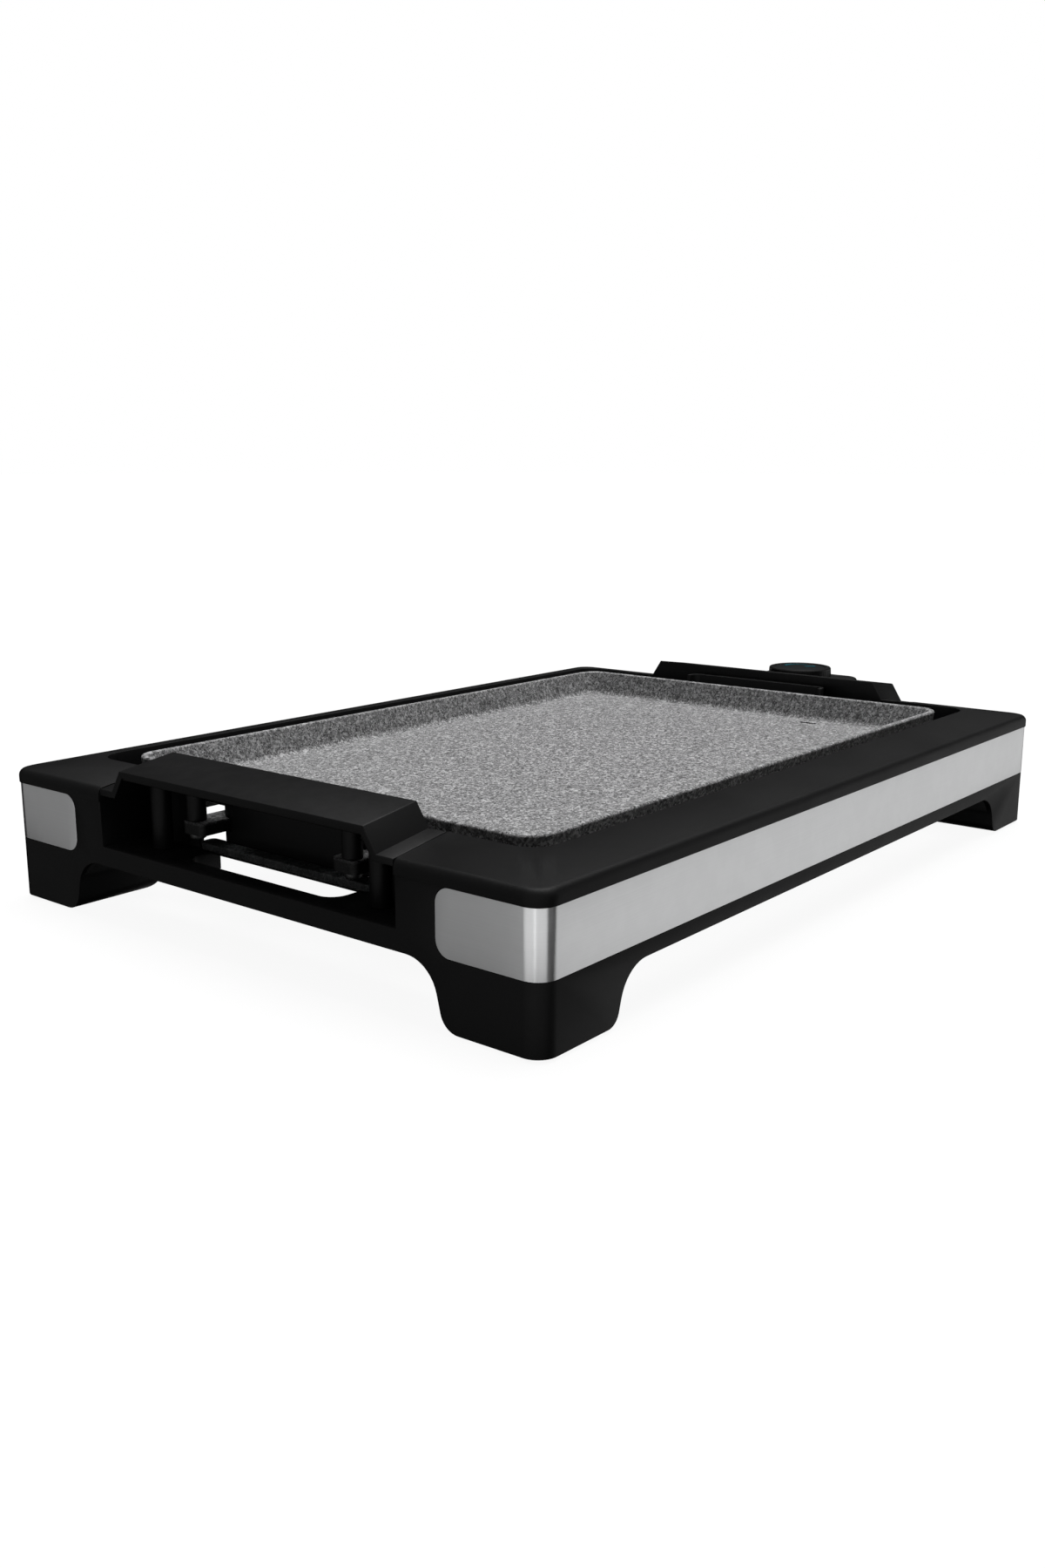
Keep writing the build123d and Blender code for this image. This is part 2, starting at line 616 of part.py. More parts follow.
def handle_screws():
    """Two screws that clamp the +X handle's bosses to the plate's lugs."""
    head = upright(BOSS_X, BOSS_Y, HANDLE_SCREW_HEAD, LUG_BOTTOM - HANDLE_SCREW_DROP, LUG_BOTTOM)
    shank = upright(BOSS_X, BOSS_Y, BOSS_BORE - 0.05, LUG_BOTTOM - 1, LUG_TOP + BOSS_BORE_DEPTH - 2)
    return both_sides(head + shank)


def shroud_panel():
    """Panel that hangs under the handle at +X and closes the end of the plate, rounded at its sides."""
    depth = SHROUD_DEPTH
    points = [
        (SHROUD_X - depth, -SHROUD_HALF), (SHROUD_X, -SHROUD_HALF), (SHROUD_X, SHROUD_HALF),
        (SHROUD_X - depth, SHROUD_HALF),
    ]
    rounds = [(SHROUD_X, -SHROUD_HALF, SHROUD_ROUND), (SHROUD_X, SHROUD_HALF, SHROUD_ROUND)]
    solid = Pos(0, 0, SHROUD_BOTTOM) * extrude(outline(points, rounds), SHROUD_TOP - SHROUD_BOTTOM)
    inner_x = SHROUD_X - SHROUD_WALL
    inner_half = SHROUD_HALF - SHROUD_WALL
    inner_round = SHROUD_ROUND - SHROUD_WALL
    room = [
        (inner_x - depth, -inner_half), (inner_x, -inner_half), (inner_x, inner_half),
        (inner_x - depth, inner_half),
    ]
    room_rounds = [(inner_x, -inner_half, inner_round), (inner_x, inner_half, inner_round)]
    height = SHROUD_TOP - SHROUD_BOTTOM
    inner = Pos(0, 0, SHROUD_BOTTOM - 5) * extrude(outline(room, room_rounds), height + 10)
    lug_way = both_sides(
        slab(SHROUD_X - 20, SHROUD_X + 5, LUG_Y - LUG_HALF - 0.4, LUG_Y + 20, LUG_BOTTOM - 0.4, LUG_TOP + 0.4)
    )
    tongue_half = SHROUD_TONGUE_HALF
    tongue = slab(HANDLE_INNER_X - 2.3, HANDLE_INNER_X, -tongue_half, tongue_half, SHROUD_TOP - 6, SHROUD_TOP)
    return solid - inner - lug_way + tongue


def terminal_shroud():
    """Shroud panel at the thermostat end, with a window for the thermostat's nose and the pins."""
    window = slab(
        SHROUD_X - SHROUD_DEPTH - 2, SHROUD_X + 5, -SHROUD_WINDOW_HALF, SHROUD_WINDOW_HALF, ELEMENT_Z - 7.5,
        ELEMENT_Z + 11,
    )
    return shroud_panel() - window


def grip_bar():
    """Rounded bar along the lower edge of the near shroud."""
    back = GRIP_BAR_X - GRIP_BAR_DEPTH
    half = GRIP_BAR_HALF
    points = [(back, -half), (GRIP_BAR_X, -half), (GRIP_BAR_X, half), (back, half)]
    rounds = [(GRIP_BAR_X, -half, 4), (GRIP_BAR_X, half, 4), (back, -half, 3), (back, half, 3)]
    bar = Pos(0, 0, SHROUD_BOTTOM - GRIP_BAR_THICK) * extrude(outline(points, rounds), GRIP_BAR_THICK)
    return mirror(bar, Plane.YZ)


def probe_plan(inset):
    """Plan outline of the thermostat's body."""
    low_x = PROBE_BODY_X + inset
    high_x = PROBE_END_X - inset
    half = PROBE_HALF - inset
    corner = PROBE_CORNER - inset
    points = [(low_x, -half), (high_x, -half), (high_x, half), (low_x, half)]
    rounds = [(high_x, -half, corner), (high_x, half, corner), (low_x, -half, 3), (low_x, half, 3)]
    return outline(points, rounds)


def probe_screw_posts():
    """Centres of the two screws that join the thermostat's shells."""
    inset = PROBE_SCREW_INSET
    return [(PROBE_END_X - inset, -PROBE_HALF + inset), (PROBE_END_X - inset, PROBE_HALF - inset)]


def probe_lower_shell():
    """Lower half of the thermostat's body, with the nose that goes into the griddle."""
    body = Pos(0, 0, PROBE_BOTTOM) * extrude(probe_plan(0), PROBE_SPLIT - PROBE_BOTTOM)
    body = fillet(body.edges().group_by(Axis.Z)[0], 2.5)
    room = Pos(0, 0, PROBE_BOTTOM + PROBE_WALL) * extrude(probe_plan(PROBE_WALL), 30)
    nose = slab(NOSE_X, PROBE_BODY_X + 4, -NOSE_HALF, NOSE_HALF, NOSE_BOTTOM, NOSE_TOP)
    nose = fillet(nose.edges().filter_by(Axis.X), 3.0)
    nose = nose - slab(PROBE_BODY_X, PROBE_BODY_X + 10, -30, 30, 30, 80)
    nose_room = slab(
        NOSE_X + PROBE_WALL, PROBE_BODY_X + PROBE_WALL + 1, -NOSE_HALF + PROBE_WALL, NOSE_HALF - PROBE_WALL,
        NOSE_BOTTOM + PROBE_WALL, PROBE_SPLIT - 0.6,
    ) - slab(PROBE_BODY_X, PROBE_BODY_X + 10, -30, 30, 30, PROBE_BOTTOM + PROBE_WALL)
    holes = both_sides(lengthwise(NOSE_X - 2, NOSE_X + 6, TERMINAL_Y, ELEMENT_Z, 3.4))
    holes += lengthwise(NOSE_X - 2, NOSE_X + 6, 0, ELEMENT_Z, ROD_RADIUS + 0.05)
    shell = body - room + nose - nose_room - holes
    for x, y in probe_screw_posts():
        shell += upright(x, y, 3.6, PROBE_BOTTOM + 1, PROBE_SPLIT)
        shell -= upright(x, y, 1.9, 40, 60) + upright(x, y, 3.0, 40, PROBE_BOTTOM + 1.5)
    inlet = lengthwise(PROBE_END_X - 4, PROBE_END_X + 1, 0, CORD_Z, GLAND_RADIUS + 0.1)
    return shell - inlet


def probe_upper_shell():
    """Upper half of the thermostat's body."""
    body = Pos(0, 0, PROBE_SPLIT) * extrude(probe_plan(0), PROBE_TOP - PROBE_SPLIT)
    body = fillet(body.edges().group_by(Axis.Z)[-1], 2.5)
    room_low = PROBE_SPLIT - 5
    room = Pos(0, 0, room_low) * extrude(probe_plan(PROBE_WALL), PROBE_TOP - PROBE_WALL - room_low)
    shell = body - room
    neck_half = NOSE_HALF + 0.2
    shell -= slab(PROBE_BODY_X - 1, PROBE_BODY_X + 3, -neck_half, neck_half, PROBE_SPLIT - 1, NOSE_TOP + 0.1)
    for x, y in probe_screw_posts():
        shell += upright(x, y, 3.6, PROBE_SPLIT, PROBE_TOP - 1)
        shell -= upright(x, y, 1.4, PROBE_SPLIT - 1, PROBE_SPLIT + 8)
    shell -= upright(KNOB_X, 0, 5.2, PROBE_TOP - 5, PROBE_TOP + 2)
    return shell - upright(LENS_X, LENS_Y, 2.55, 60, 80)


def probe_screws():
    """Screws that close the thermostat's shells."""
    screws = []
    for x, y in probe_screw_posts():
        head = upright(x, y, 2.8, PROBE_BOTTOM + 0.3, PROBE_BOTTOM + 1.5)
        screws.append(head + upright(x, y, 1.35, PROBE_BOTTOM + 1, PROBE_SPLIT + 6))
    return screws[0] + screws[1]


def pilot_lens():
    """Clear lens of the pilot lamp, in the top of the thermostat."""
    x = LENS_X
    y = LENS_Y
    lens = upright(x, y, 2.5, PROBE_TOP - 3.4, PROBE_TOP + 0.5)
    lens = fillet(lens.edges().group_by(Axis.Z)[-1], 0.45)
    return lens + upright(x, y, 3.3, PROBE_TOP - 3.4, PROBE_TOP - PROBE_WALL)


def pilot_lamp():
    """Small neon lamp under the lens."""
    return upright(LENS_X, LENS_Y, 1.8, PROBE_TOP - 9.4, PROBE_TOP - 3.4)


def sensor_rod():
    """Sensor rod that reaches into the plate, with its tip rounded."""
    rod = lengthwise(ROD_START_X, NOSE_X + 9, 0, ELEMENT_Z, ROD_RADIUS)
    return fillet(rod.edges().group_by(Axis.X)[0], 2.4)


def contact_sockets():
    """Two spring sockets in the nose that grip the pins."""
    socket = lengthwise(NOSE_X + 3, NOSE_X + 23, TERMINAL_Y, ELEMENT_Z, SOCKET_RADIUS)
    socket -= lengthwise(NOSE_X + 2, NOSE_X + 20, TERMINAL_Y, ELEMENT_Z, PIN_RADIUS + 0.3)
    return both_sides(socket)


def switch_block():
    """Ceramic block that carries the thermostat's contacts."""
    block = slab(246, 265, -9, 9, 47.5, 55) - upright(KNOB_X, 0, 3.4, 40, 60)
    return block - slab(245, 266, -6, -3, 53, 56)


def contact_blades():
    """Two stacked contact blades with their points."""
    low_y = CONTACT_Y - 1.5
    high_y = CONTACT_Y + 1.5
    low_top = BLADE_LOW_Z + BLADE_THICK
    lower = slab(BLADE_START_X, BLADE_END_X, low_y, high_y, BLADE_LOW_Z, low_top)
    lower += upright(CONTACT_X, CONTACT_Y, 1.4, low_top, low_top + 0.8)
    upper = slab(BLADE_START_X, BLADE_END_X, low_y, high_y, BLADE_HIGH_Z, BLADE_HIGH_Z + BLADE_THICK)
    upper += upright(CONTACT_X, CONTACT_Y, 1.4, BLADE_HIGH_Z - 1, BLADE_HIGH_Z)
    return lower + upper + slab(BLADE_START_X, BLADE_START_X + 4, low_y, high_y, low_top, BLADE_HIGH_Z)


def bimetal_strip():
    """Bimetal strip, clamped at the sensor rod's end and reaching under the blades."""
    foot_x = NOSE_X + 9
    strip = slab(foot_x, BLADE_START_X + 2.5, -4, 4, ELEMENT_Z + 2.3, ELEMENT_Z + 3.3)
    return strip + slab(foot_x, foot_x + 3.5, -4, 4, ELEMENT_Z - 2.1, ELEMENT_Z + 2.3)


def cord_gland():
    """Bushed cord inlet in the outer end of the thermostat."""
    bush = lengthwise(PROBE_END_X - 4.2, PROBE_END_X, 0, CORD_Z, GLAND_RADIUS)
    return bush - lengthwise(PROBE_END_X - 10, PROBE_END_X + 5, 0, CORD_Z, GLAND_BORE)


def control_knob():
    """Low round knob with a hub, a recessed top and a pointer rib."""
    knob = upright(KNOB_X, 0, KNOB_RADIUS, KNOB_BOTTOM, KNOB_TOP)
    knob = fillet(knob.edges().group_by(Axis.Z)[-1], 1.0)
    knob -= upright(KNOB_X, 0, KNOB_CAP_RADIUS + 0.1, KNOB_TOP - KNOB_SEAT_DEPTH, KNOB_TOP + 1)
    ceiling = KNOB_TOP - KNOB_SEAT_DEPTH - KNOB_SKIN
    knob -= upright(KNOB_X, 0, KNOB_RADIUS - KNOB_SKIN, KNOB_BOTTOM - 1, ceiling)
    knob += upright(KNOB_X, 0, 4.8, PROBE_TOP - 2.0, KNOB_TOP - 2)
    return knob - upright(KNOB_X, 0, SHAFT_RADIUS + 0.05, 60, KNOB_TOP - 2.5)


def knob_cap():
    """Thin disc inlaid in the knob."""
    return upright(KNOB_X, 0, KNOB_CAP_RADIUS, KNOB_TOP - KNOB_SEAT_DEPTH, KNOB_TOP - KNOB_CAP_DROP)


def knob_pointer():
    """Raised pointer mark on the inlaid disc."""
    half = POINTER_WIDTH / 2
    bar = slab(POINTER_START, POINTER_END, -half, half, KNOB_TOP - KNOB_CAP_DROP, KNOB_TOP + 0.1)
    return Pos(KNOB_X, 0, 0) * Rot(0, 0, POINTER_TURN) * bar


def dial_shaft():
    """Shaft under the knob, with the threaded tip that sets the contacts."""
    shaft = upright(KNOB_X, 0, SHAFT_RADIUS, SHAFT_FOOT, KNOB_TOP - 2.5)
    collar = upright(KNOB_X, 0, 4.0, SHAFT_FOOT + 1, SHAFT_FOOT + 3)
    return shaft + collar + upright(KNOB_X, 0, 1.6, SHAFT_FOOT - 2.7, SHAFT_FOOT)


def drip_tray():
    """Open tray under the thermostat end, with side rims that ride on the rails and a pull in front."""
    depth = TRAY_OUTER_X - TRAY_INNER_X
    centre = (TRAY_OUTER_X + TRAY_INNER_X) / 2
    plan = RectangleRounded(depth, 2 * TRAY_HALF, TRAY_CORNER)
    tub = Pos(centre, 0, TRAY_BOTTOM) * extrude(plan, TRAY_TOP - TRAY_BOTTOM)
    tub = fillet(tub.edges().group_by(Axis.Z)[0], 4)
    room_plan = RectangleRounded(depth - 2 * TRAY_WALL, 2 * (TRAY_HALF - TRAY_WALL), TRAY_CORNER - TRAY_WALL)
    room = Pos(centre, 0, TRAY_BOTTOM + TRAY_WALL) * extrude(room_plan, 30)
    room = fillet(room.edges().group_by(Axis.Z)[0], 2.5)
    rim_low = TRAY_TOP - TRAY_WALL
    rim = slab(TRAY_INNER_X + 4, TRAY_OUTER_X, TRAY_HALF - 1, TRAY_HALF + TRAY_RIM, rim_low, TRAY_TOP)
    half = TRAY_PULL_HALF
    narrow = half - TRAY_PULL_DEPTH
    pull = [(-half, 0), (-narrow, TRAY_PULL_DEPTH), (narrow, TRAY_PULL_DEPTH), (half, 0)]
    pull = outline([(TRAY_OUTER_X + x, y) for y, x in pull], [])
    pull = Pos(0, 0, TRAY_TOP - TRAY_PULL_THICK) * extrude(pull, TRAY_PULL_THICK)
    return tub - room + both_sides(rim) + pull


def tray_rails():
    """Two channel rails under the base that the tray's rims slide in."""
    top = SHORT_SIDE_UNDERSIDE
    inner = TRAY_HALF + RAIL_GAP
    rail = slab(CROSS_RIB_X, RAIL_END_X, inner, inner + RAIL_WIDTH, TRAY_TOP - 4.4, top)
    way = TRAY_HALF + TRAY_RIM + 0.5
    rail -= slab(CROSS_RIB_X - 8, RAIL_END_X + 10, TRAY_HALF, way, TRAY_TOP - 2.4, TRAY_TOP + 0.4)
    return both_sides(rail)


def near(piece):
    """The same piece turned round to the end without the thermostat."""
    return mirror(piece, Plane.YZ)


PIECES = {
    "base_frame": base_frame,
    "front_band": steel_band,
    "rear_band": lambda: mirror(steel_band(), Plane.XZ),
    "rubber_feet": feet,
    "foot_screws": foot_screws,
    "tray_rails": tray_rails,
    "drip_tray": drip_tray,
    "griddle_plate": griddle_plate,
    "heating_element": heating_element,
    "pin_beads": pin_beads,
    "terminal_pins": terminal_pins,
    "sensor_sleeve": sensor_sleeve,
    "heat_reflector": heat_reflector,
    "reflector_screws": reflector_screws,
    "near_handle": lambda: near(bridge_handle()),
    "far_handle": bridge_handle,
    "near_handle_screws": lambda: near(handle_screws()),
    "far_handle_screws": handle_screws,
    "near_shroud": lambda: near(shroud_panel()),
    "terminal_shroud": terminal_shroud,
    "grip_bar": grip_bar,
    "thermostat_lower_shell": probe_lower_shell,
    "thermostat_upper_shell": probe_upper_shell,
    "thermostat_screws": probe_screws,
    "pilot_lens": pilot_lens,
    "pilot_lamp": pilot_lamp,
    "sensor_rod": sensor_rod,
    "contact_sockets": contact_sockets,
    "switch_block": switch_block,
    "contact_blades": contact_blades,
    "bimetal_strip": bimetal_strip,
    "cord_gland": cord_gland,
    "control_knob": control_knob,
    "knob_cap": knob_cap,
    "knob_pointer": knob_pointer,
    "dial_shaft": dial_shaft,
}

os.makedirs("parts", exist_ok=True)
for name, make in PIECES.items():
    solids = (SHIFT * make()).solids()
    whole = solids[0] if len(solids) == 1 else Compound(children=list(solids))
    export_step(whole, f"parts/{name}.step")
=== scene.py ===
import math
import bmesh
import bpy
from mathutils import Matrix, Vector


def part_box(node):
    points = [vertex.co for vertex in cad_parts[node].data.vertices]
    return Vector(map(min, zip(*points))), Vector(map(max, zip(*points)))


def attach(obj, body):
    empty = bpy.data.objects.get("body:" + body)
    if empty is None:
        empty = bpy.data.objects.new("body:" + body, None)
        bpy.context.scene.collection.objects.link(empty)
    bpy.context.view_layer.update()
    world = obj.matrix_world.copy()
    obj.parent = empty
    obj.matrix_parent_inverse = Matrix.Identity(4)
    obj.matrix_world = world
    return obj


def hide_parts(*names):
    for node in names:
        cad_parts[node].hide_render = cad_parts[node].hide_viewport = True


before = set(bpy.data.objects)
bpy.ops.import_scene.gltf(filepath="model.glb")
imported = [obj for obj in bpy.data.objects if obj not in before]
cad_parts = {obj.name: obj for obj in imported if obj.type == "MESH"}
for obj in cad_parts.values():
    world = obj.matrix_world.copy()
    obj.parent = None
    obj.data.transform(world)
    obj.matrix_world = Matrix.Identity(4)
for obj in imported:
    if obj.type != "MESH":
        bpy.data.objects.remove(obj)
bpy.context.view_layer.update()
MM = 0.001
MERGE_DISTANCE = 0.02 * MM
CRISP_ANGLE = 30.0
WARP_REACH = 0.0009
HALF_WIDTH = 0.165
NEAR_CORNER = (-0.24, -0.16)


# Shader building

def shader_node(tree, kind, links=None, **settings):
    """Adds a node with the given settings. links maps an input's name or number to a socket or a plain value."""
    made = tree.nodes.new("ShaderNode" + kind)
    for name, value in settings.items():
        setattr(made, name, value)
    for name, value in (links or {}).items():
        if isinstance(value, bpy.types.NodeSocket):
            tree.links.new(value, made.inputs[name])
        else:
            made.inputs[name].default_value = value
    return made


def shared_effect(name, inputs, outputs):
    """Empty shader group with named inputs (name, kind, usual value) and outputs (name, kind)."""
    group = bpy.data.node_groups.new(name, "ShaderNodeTree")
    for label, kind, usual in inputs:
        socket = group.interface.new_socket(name=label, in_out="INPUT", socket_type="NodeSocket" + kind)
        if usual is not None:
            socket.default_value = usual
    for label, kind in outputs:
        group.interface.new_socket(name=label, in_out="OUTPUT", socket_type="NodeSocket" + kind)
    return group, group.nodes.new("NodeGroupInput"), group.nodes.new("NodeGroupOutput")


def ranged(tree, value, low, high, from_low=0.0, from_high=1.0):
    """Output of a Map Range node."""
    made = shader_node(
        tree, "MapRange",
        {"Value": value, "From Min": from_low, "From Max": from_high, "To Min": low, "To Max": high},
    )
    return made.outputs["Result"]


def blended(tree, share, first, second):
    """Colour output of a Mix node."""
    made = tree.nodes.new("ShaderNodeMix")
    made.data_type = "RGBA"
    for index, value in ((0, share), (6, first), (7, second)):
        if isinstance(value, bpy.types.NodeSocket):
            tree.links.new(value, made.inputs[index])
        else:
            made.inputs[index].default_value = value if index == 0 else (*value, 1.0)
    return made.outputs[2]


def worked(tree, kind, first, second):
    """Output of a Math node."""
    return shader_node(tree, "Math", {0: first, 1: second}, operation=kind).outputs[0]


def moulded_grain():
    """Fine spark-eroded mould texture, with broad uneven sheen and the odd rubbed patch."""
    group, start, end = shared_effect(
        "MouldedGrain",
        [("Vector", "Vector", None), ("Grain", "Float", 2600.0), ("Sheen Scale", "Float", 22.0)],
        [("Height", "Float"), ("Sheen", "Float"), ("Tone", "Float")],
    )
    where = start.outputs["Vector"]
    fine = shader_node(group, "TexNoise", {"Vector": where, "Scale": start.outputs["Grain"], "Detail": 2.0})
    pits = shader_node(group, "TexVoronoi", {"Vector": where, "Scale": start.outputs["Grain"]}, feature="F1")
    broad = shader_node(
        group, "TexNoise", {"Vector": where, "Scale": start.outputs["Sheen Scale"], "Detail": 3.0, "Roughness": 0.6}
    )
    height = worked(group, "ADD", fine.outputs["Fac"], worked(group, "MULTIPLY", pits.outputs["Distance"], 0.6))
    group.links.new(height, end.inputs["Height"])
    group.links.new(ranged(group, broad.outputs["Fac"], 0.0, 1.0, 0.3, 0.7), end.inputs["Sheen"])
    group.links.new(fine.outputs["Fac"], end.inputs["Tone"])
    return group


def stone_speckle():
    """Light and dark grains over a middle grey, as in a flecked non-stick coating."""
    group, start, end = shared_effect(
        "StoneSpeckle",
        [("Vector", "Vector", None), ("Grain", "Float", 1050.0), ("Dark", "Color", None), ("Middle", "Color", None),
         ("Light", "Color", None)],
        [("Color", "Color"), ("Height", "Float"), ("Gloss", "Float")],
    )
    where = start.outputs["Vector"]
    grain = start.outputs["Grain"]
    warp = shader_node(group, "TexNoise", {"Vector": where, "Scale": 700.0, "Detail": 1.0})
    shift = shader_node(
        group, "VectorMath", {0: warp.outputs["Color"], 1: (WARP_REACH, WARP_REACH, WARP_REACH)}, operation="MULTIPLY"
    )
    moved = shader_node(group, "VectorMath", {0: where, 1: shift.outputs[0]}, operation="ADD").outputs[0]
    small = shader_node(group, "TexVoronoi", {"Vector": moved, "Scale": grain}, feature="F1")
    large = shader_node(
        group, "TexVoronoi", {"Vector": moved, "Scale": worked(group, "MULTIPLY", grain, 0.45)}, feature="F1"
    )
    cloud = shader_node(group, "TexNoise", {"Vector": where, "Scale": 160.0, "Detail": 4.0, "Roughness": 0.65})
    pick = shader_node(group, "SeparateColor", {0: small.outputs["Color"]})
    pick_large = shader_node(group, "SeparateColor", {0: large.outputs["Color"]})
    light_mask = ranged(group, pick.outputs[0], 0.0, 1.0, 0.60, 0.92)
    dark_mask = ranged(group, pick.outputs[1], 0.0, 1.0, 0.58, 0.95)
    fleck_mask = ranged(group, pick_large.outputs[0], 0.0, 0.75, 0.78, 0.92)
    pit_mask = ranged(group, pick_large.outputs[1], 0.0, 0.7, 0.80, 0.95)
    colour = blended(group, light_mask, start.outputs["Middle"], start.outputs["Light"])
    for mask, name in ((dark_mask, "Dark"), (fleck_mask, "Light"), (pit_mask, "Dark")):
        colour = blended(group, mask, colour, start.outputs[name])
    shade = ranged(group, cloud.outputs["Fac"], 0.86, 1.12, 0.3, 0.7)
    toned = shader_node(group, "VectorMath", {0: colour, "Scale": shade}, operation="SCALE")
    group.links.new(toned.outputs[0], end.inputs["Color"])
    lumps = worked(group, "MULTIPLY", cloud.outputs["Fac"], 0.7)
    height = worked(group, "SUBTRACT", lumps, small.outputs["Distance"])
    group.links.new(height, end.inputs["Height"])
    group.links.new(pick.outputs[2], end.inputs["Gloss"])
    return group


def brushed_lines():
    """Fine lines along the length of a satin-brushed sheet."""
    group, start, end = shared_effect(
        "BrushedLines",
        [("Vector", "Vector", None), ("Along", "Float", 9.0), ("Across", "Float", 5200.0)],
        [("Height", "Float"), ("Lines", "Float"), ("Haze", "Float")],
    )
    where = start.outputs["Vector"]
    stretch = shader_node(
        group, "CombineXYZ", {0: start.outputs["Along"], 1: start.outputs["Along"], 2: start.outputs["Across"]}
    )
    drawn = shader_node(group, "VectorMath", {0: where, 1: stretch.outputs[0]}, operation="MULTIPLY").outputs[0]
    lines = shader_node(group, "TexNoise", {"Vector": drawn, "Scale": 1.0, "Detail": 3.0, "Roughness": 0.6})
    haze = shader_node(group, "TexNoise", {"Vector": where, "Scale": 14.0, "Detail": 2.0})
    group.links.new(lines.outputs["Fac"], end.inputs["Height"])
    group.links.new(ranged(group, lines.outputs["Fac"], 0.0, 1.0, 0.3, 0.7), end.inputs["Lines"])
    group.links.new(haze.outputs["Fac"], end.inputs["Haze"])
    return group


def edge_wear_and_highlight():
    """Mask for edges that hands and cloths polish first, broken up by noise. It paints both handled wear and an edge
    highlight.
    """
    group, start, end = shared_effect(
        "EdgeWearAndHighlight", [("Vector", "Vector", None), ("Reach", "Float", 0.53)], [("Mask", "Float")]
    )
    shape = group.nodes.new("ShaderNodeNewGeometry")
    edge = shader_node(
        group, "MapRange",
        {"Value": shape.outputs["Pointiness"], "From Min": start.outputs["Reach"], "From Max": 0.62},
    )
    breakup = shader_node(group, "TexNoise", {"Vector": start.outputs["Vector"], "Scale": 130.0, "Detail": 4.0})
    patchy = ranged(group, breakup.outputs["Fac"], 0.0, 1.0, 0.42, 0.62)
    group.links.new(worked(group, "MULTIPLY", edge.outputs[0], patchy), end.inputs["Mask"])
    return group


GRAIN = moulded_grain()
SPECKLE = stone_speckle()
BRUSHED = brushed_lines()
WEAR_AND_HIGHLIGHT = edge_wear_and_highlight()
finishes = {}


def finish_base(name):
    """Material with a Principled shader, and its Object coordinates."""
    made = bpy.data.materials.new(name)
    made.use_nodes = True
    tree = made.node_tree
    shader = tree.nodes["Principled BSDF"]
    where = tree.nodes.new("ShaderNodeTexCoord").outputs["Object"]
    finishes[name] = made
    return tree, shader, where


def effect(tree, group, links):
    """Places a shared effect in a material."""
    made = tree.nodes.new("ShaderNodeGroup")
    made.node_tree = group
    for name, value in links.items():
        if isinstance(value, bpy.types.NodeSocket):
            tree.links.new(value, made.inputs[name])
        else:
            made.inputs[name].default_value = value
    return made.outputs


def bumped(tree, shader, height, distance, strength):
    """Joins a height to the shader's normal."""
    bump = shader_node(tree, "Bump", {"Height": height, "Distance": distance, "Strength": strength})
    tree.links.new(bump.outputs[0], shader.inputs["Normal"])


def plastic_finish(name, colour, rough, gloss, grain, depth, specular):
    """Moulded plastic: grain in the relief, uneven sheen and slightly paler edges, both handled wear and a painted
    edge highlight.
    """
    tree, shader, where = finish_base(name)
    skin = effect(tree, GRAIN, {"Vector": where, "Grain": grain, "Sheen Scale": 24.0})
    wear_and_highlight = effect(tree, WEAR_AND_HIGHLIGHT, {"Vector": where})["Mask"]
    deep = tuple(0.86 * part for part in colour)
    # paler edges: handled wear and a painted edge highlight
    pale = tuple(1.9 * part + 0.002 for part in colour)
    tint = blended(tree, skin["Tone"], deep, colour)
    tree.links.new(blended(tree, wear_and_highlight, tint, pale), shader.inputs["Base Color"])
    sheen = ranged(tree, skin["Sheen"], rough, rough - gloss)
    tree.links.new(worked(tree, "ADD", sheen, ranged(tree, wear_and_highlight, 0.0, -0.08)), shader.inputs["Roughness"])
    shader.inputs["Specular IOR Level"].default_value = specular
    bumped(tree, shader, skin["Height"], depth, 0.35)
    return tree, shader


def metal_finish(name, colour, rough, along, across, depth, tint=(1.0, 1.0, 1.0)):
    """Bare metal with fine drawn or brushed lines."""
    tree, shader, where = finish_base(name)
    skin = effect(tree, BRUSHED, {"Vector": where, "Along": along, "Across": across})
    wear_and_highlight = effect(tree, WEAR_AND_HIGHLIGHT, {"Vector": where})["Mask"]
    dull = tuple(0.93 * part for part in colour)
    lined = blended(tree, skin["Lines"], dull, colour)
    # brighter edges: handled wear and a painted edge highlight
    bright = tuple(min(1.0, 1.12 * part * shade) for part, shade in zip(colour, tint))
    tree.links.new(blended(tree, wear_and_highlight, lined, bright), shader.inputs["Base Color"])
    shader.inputs["Metallic"].default_value = 1.0
    uneven = worked(tree, "ADD", ranged(tree, skin["Lines"], rough - 0.035, rough + 0.035),
                    ranged(tree, skin["Haze"], -0.02, 0.02, 0.3, 0.7))
    tree.links.new(uneven, shader.inputs["Roughness"])
    bumped(tree, shader, skin["Height"], depth, 0.25)
    return tree, shader


def speckled_finish(name, grain, dark, middle, light, specular):
    """Flecked coating without its base colour. Gives the tree, its shader, its coordinates and the flecks' colour."""
    tree, shader, where = finish_base(name)
    flecks = {"Dark": (*dark, 1.0), "Middle": (*middle, 1.0), "Light": (*light, 1.0)}
    skin = effect(tree, SPECKLE, {"Vector": where, "Grain": grain, **flecks})
    tree.links.new(ranged(tree, skin["Gloss"], 0.42, 0.62), shader.inputs["Roughness"])
    shader.inputs["Specular IOR Level"].default_value = specular
    bumped(tree, shader, skin["Height"], 0.00016, 0.4)
    return tree, shader, where, skin["Color"]


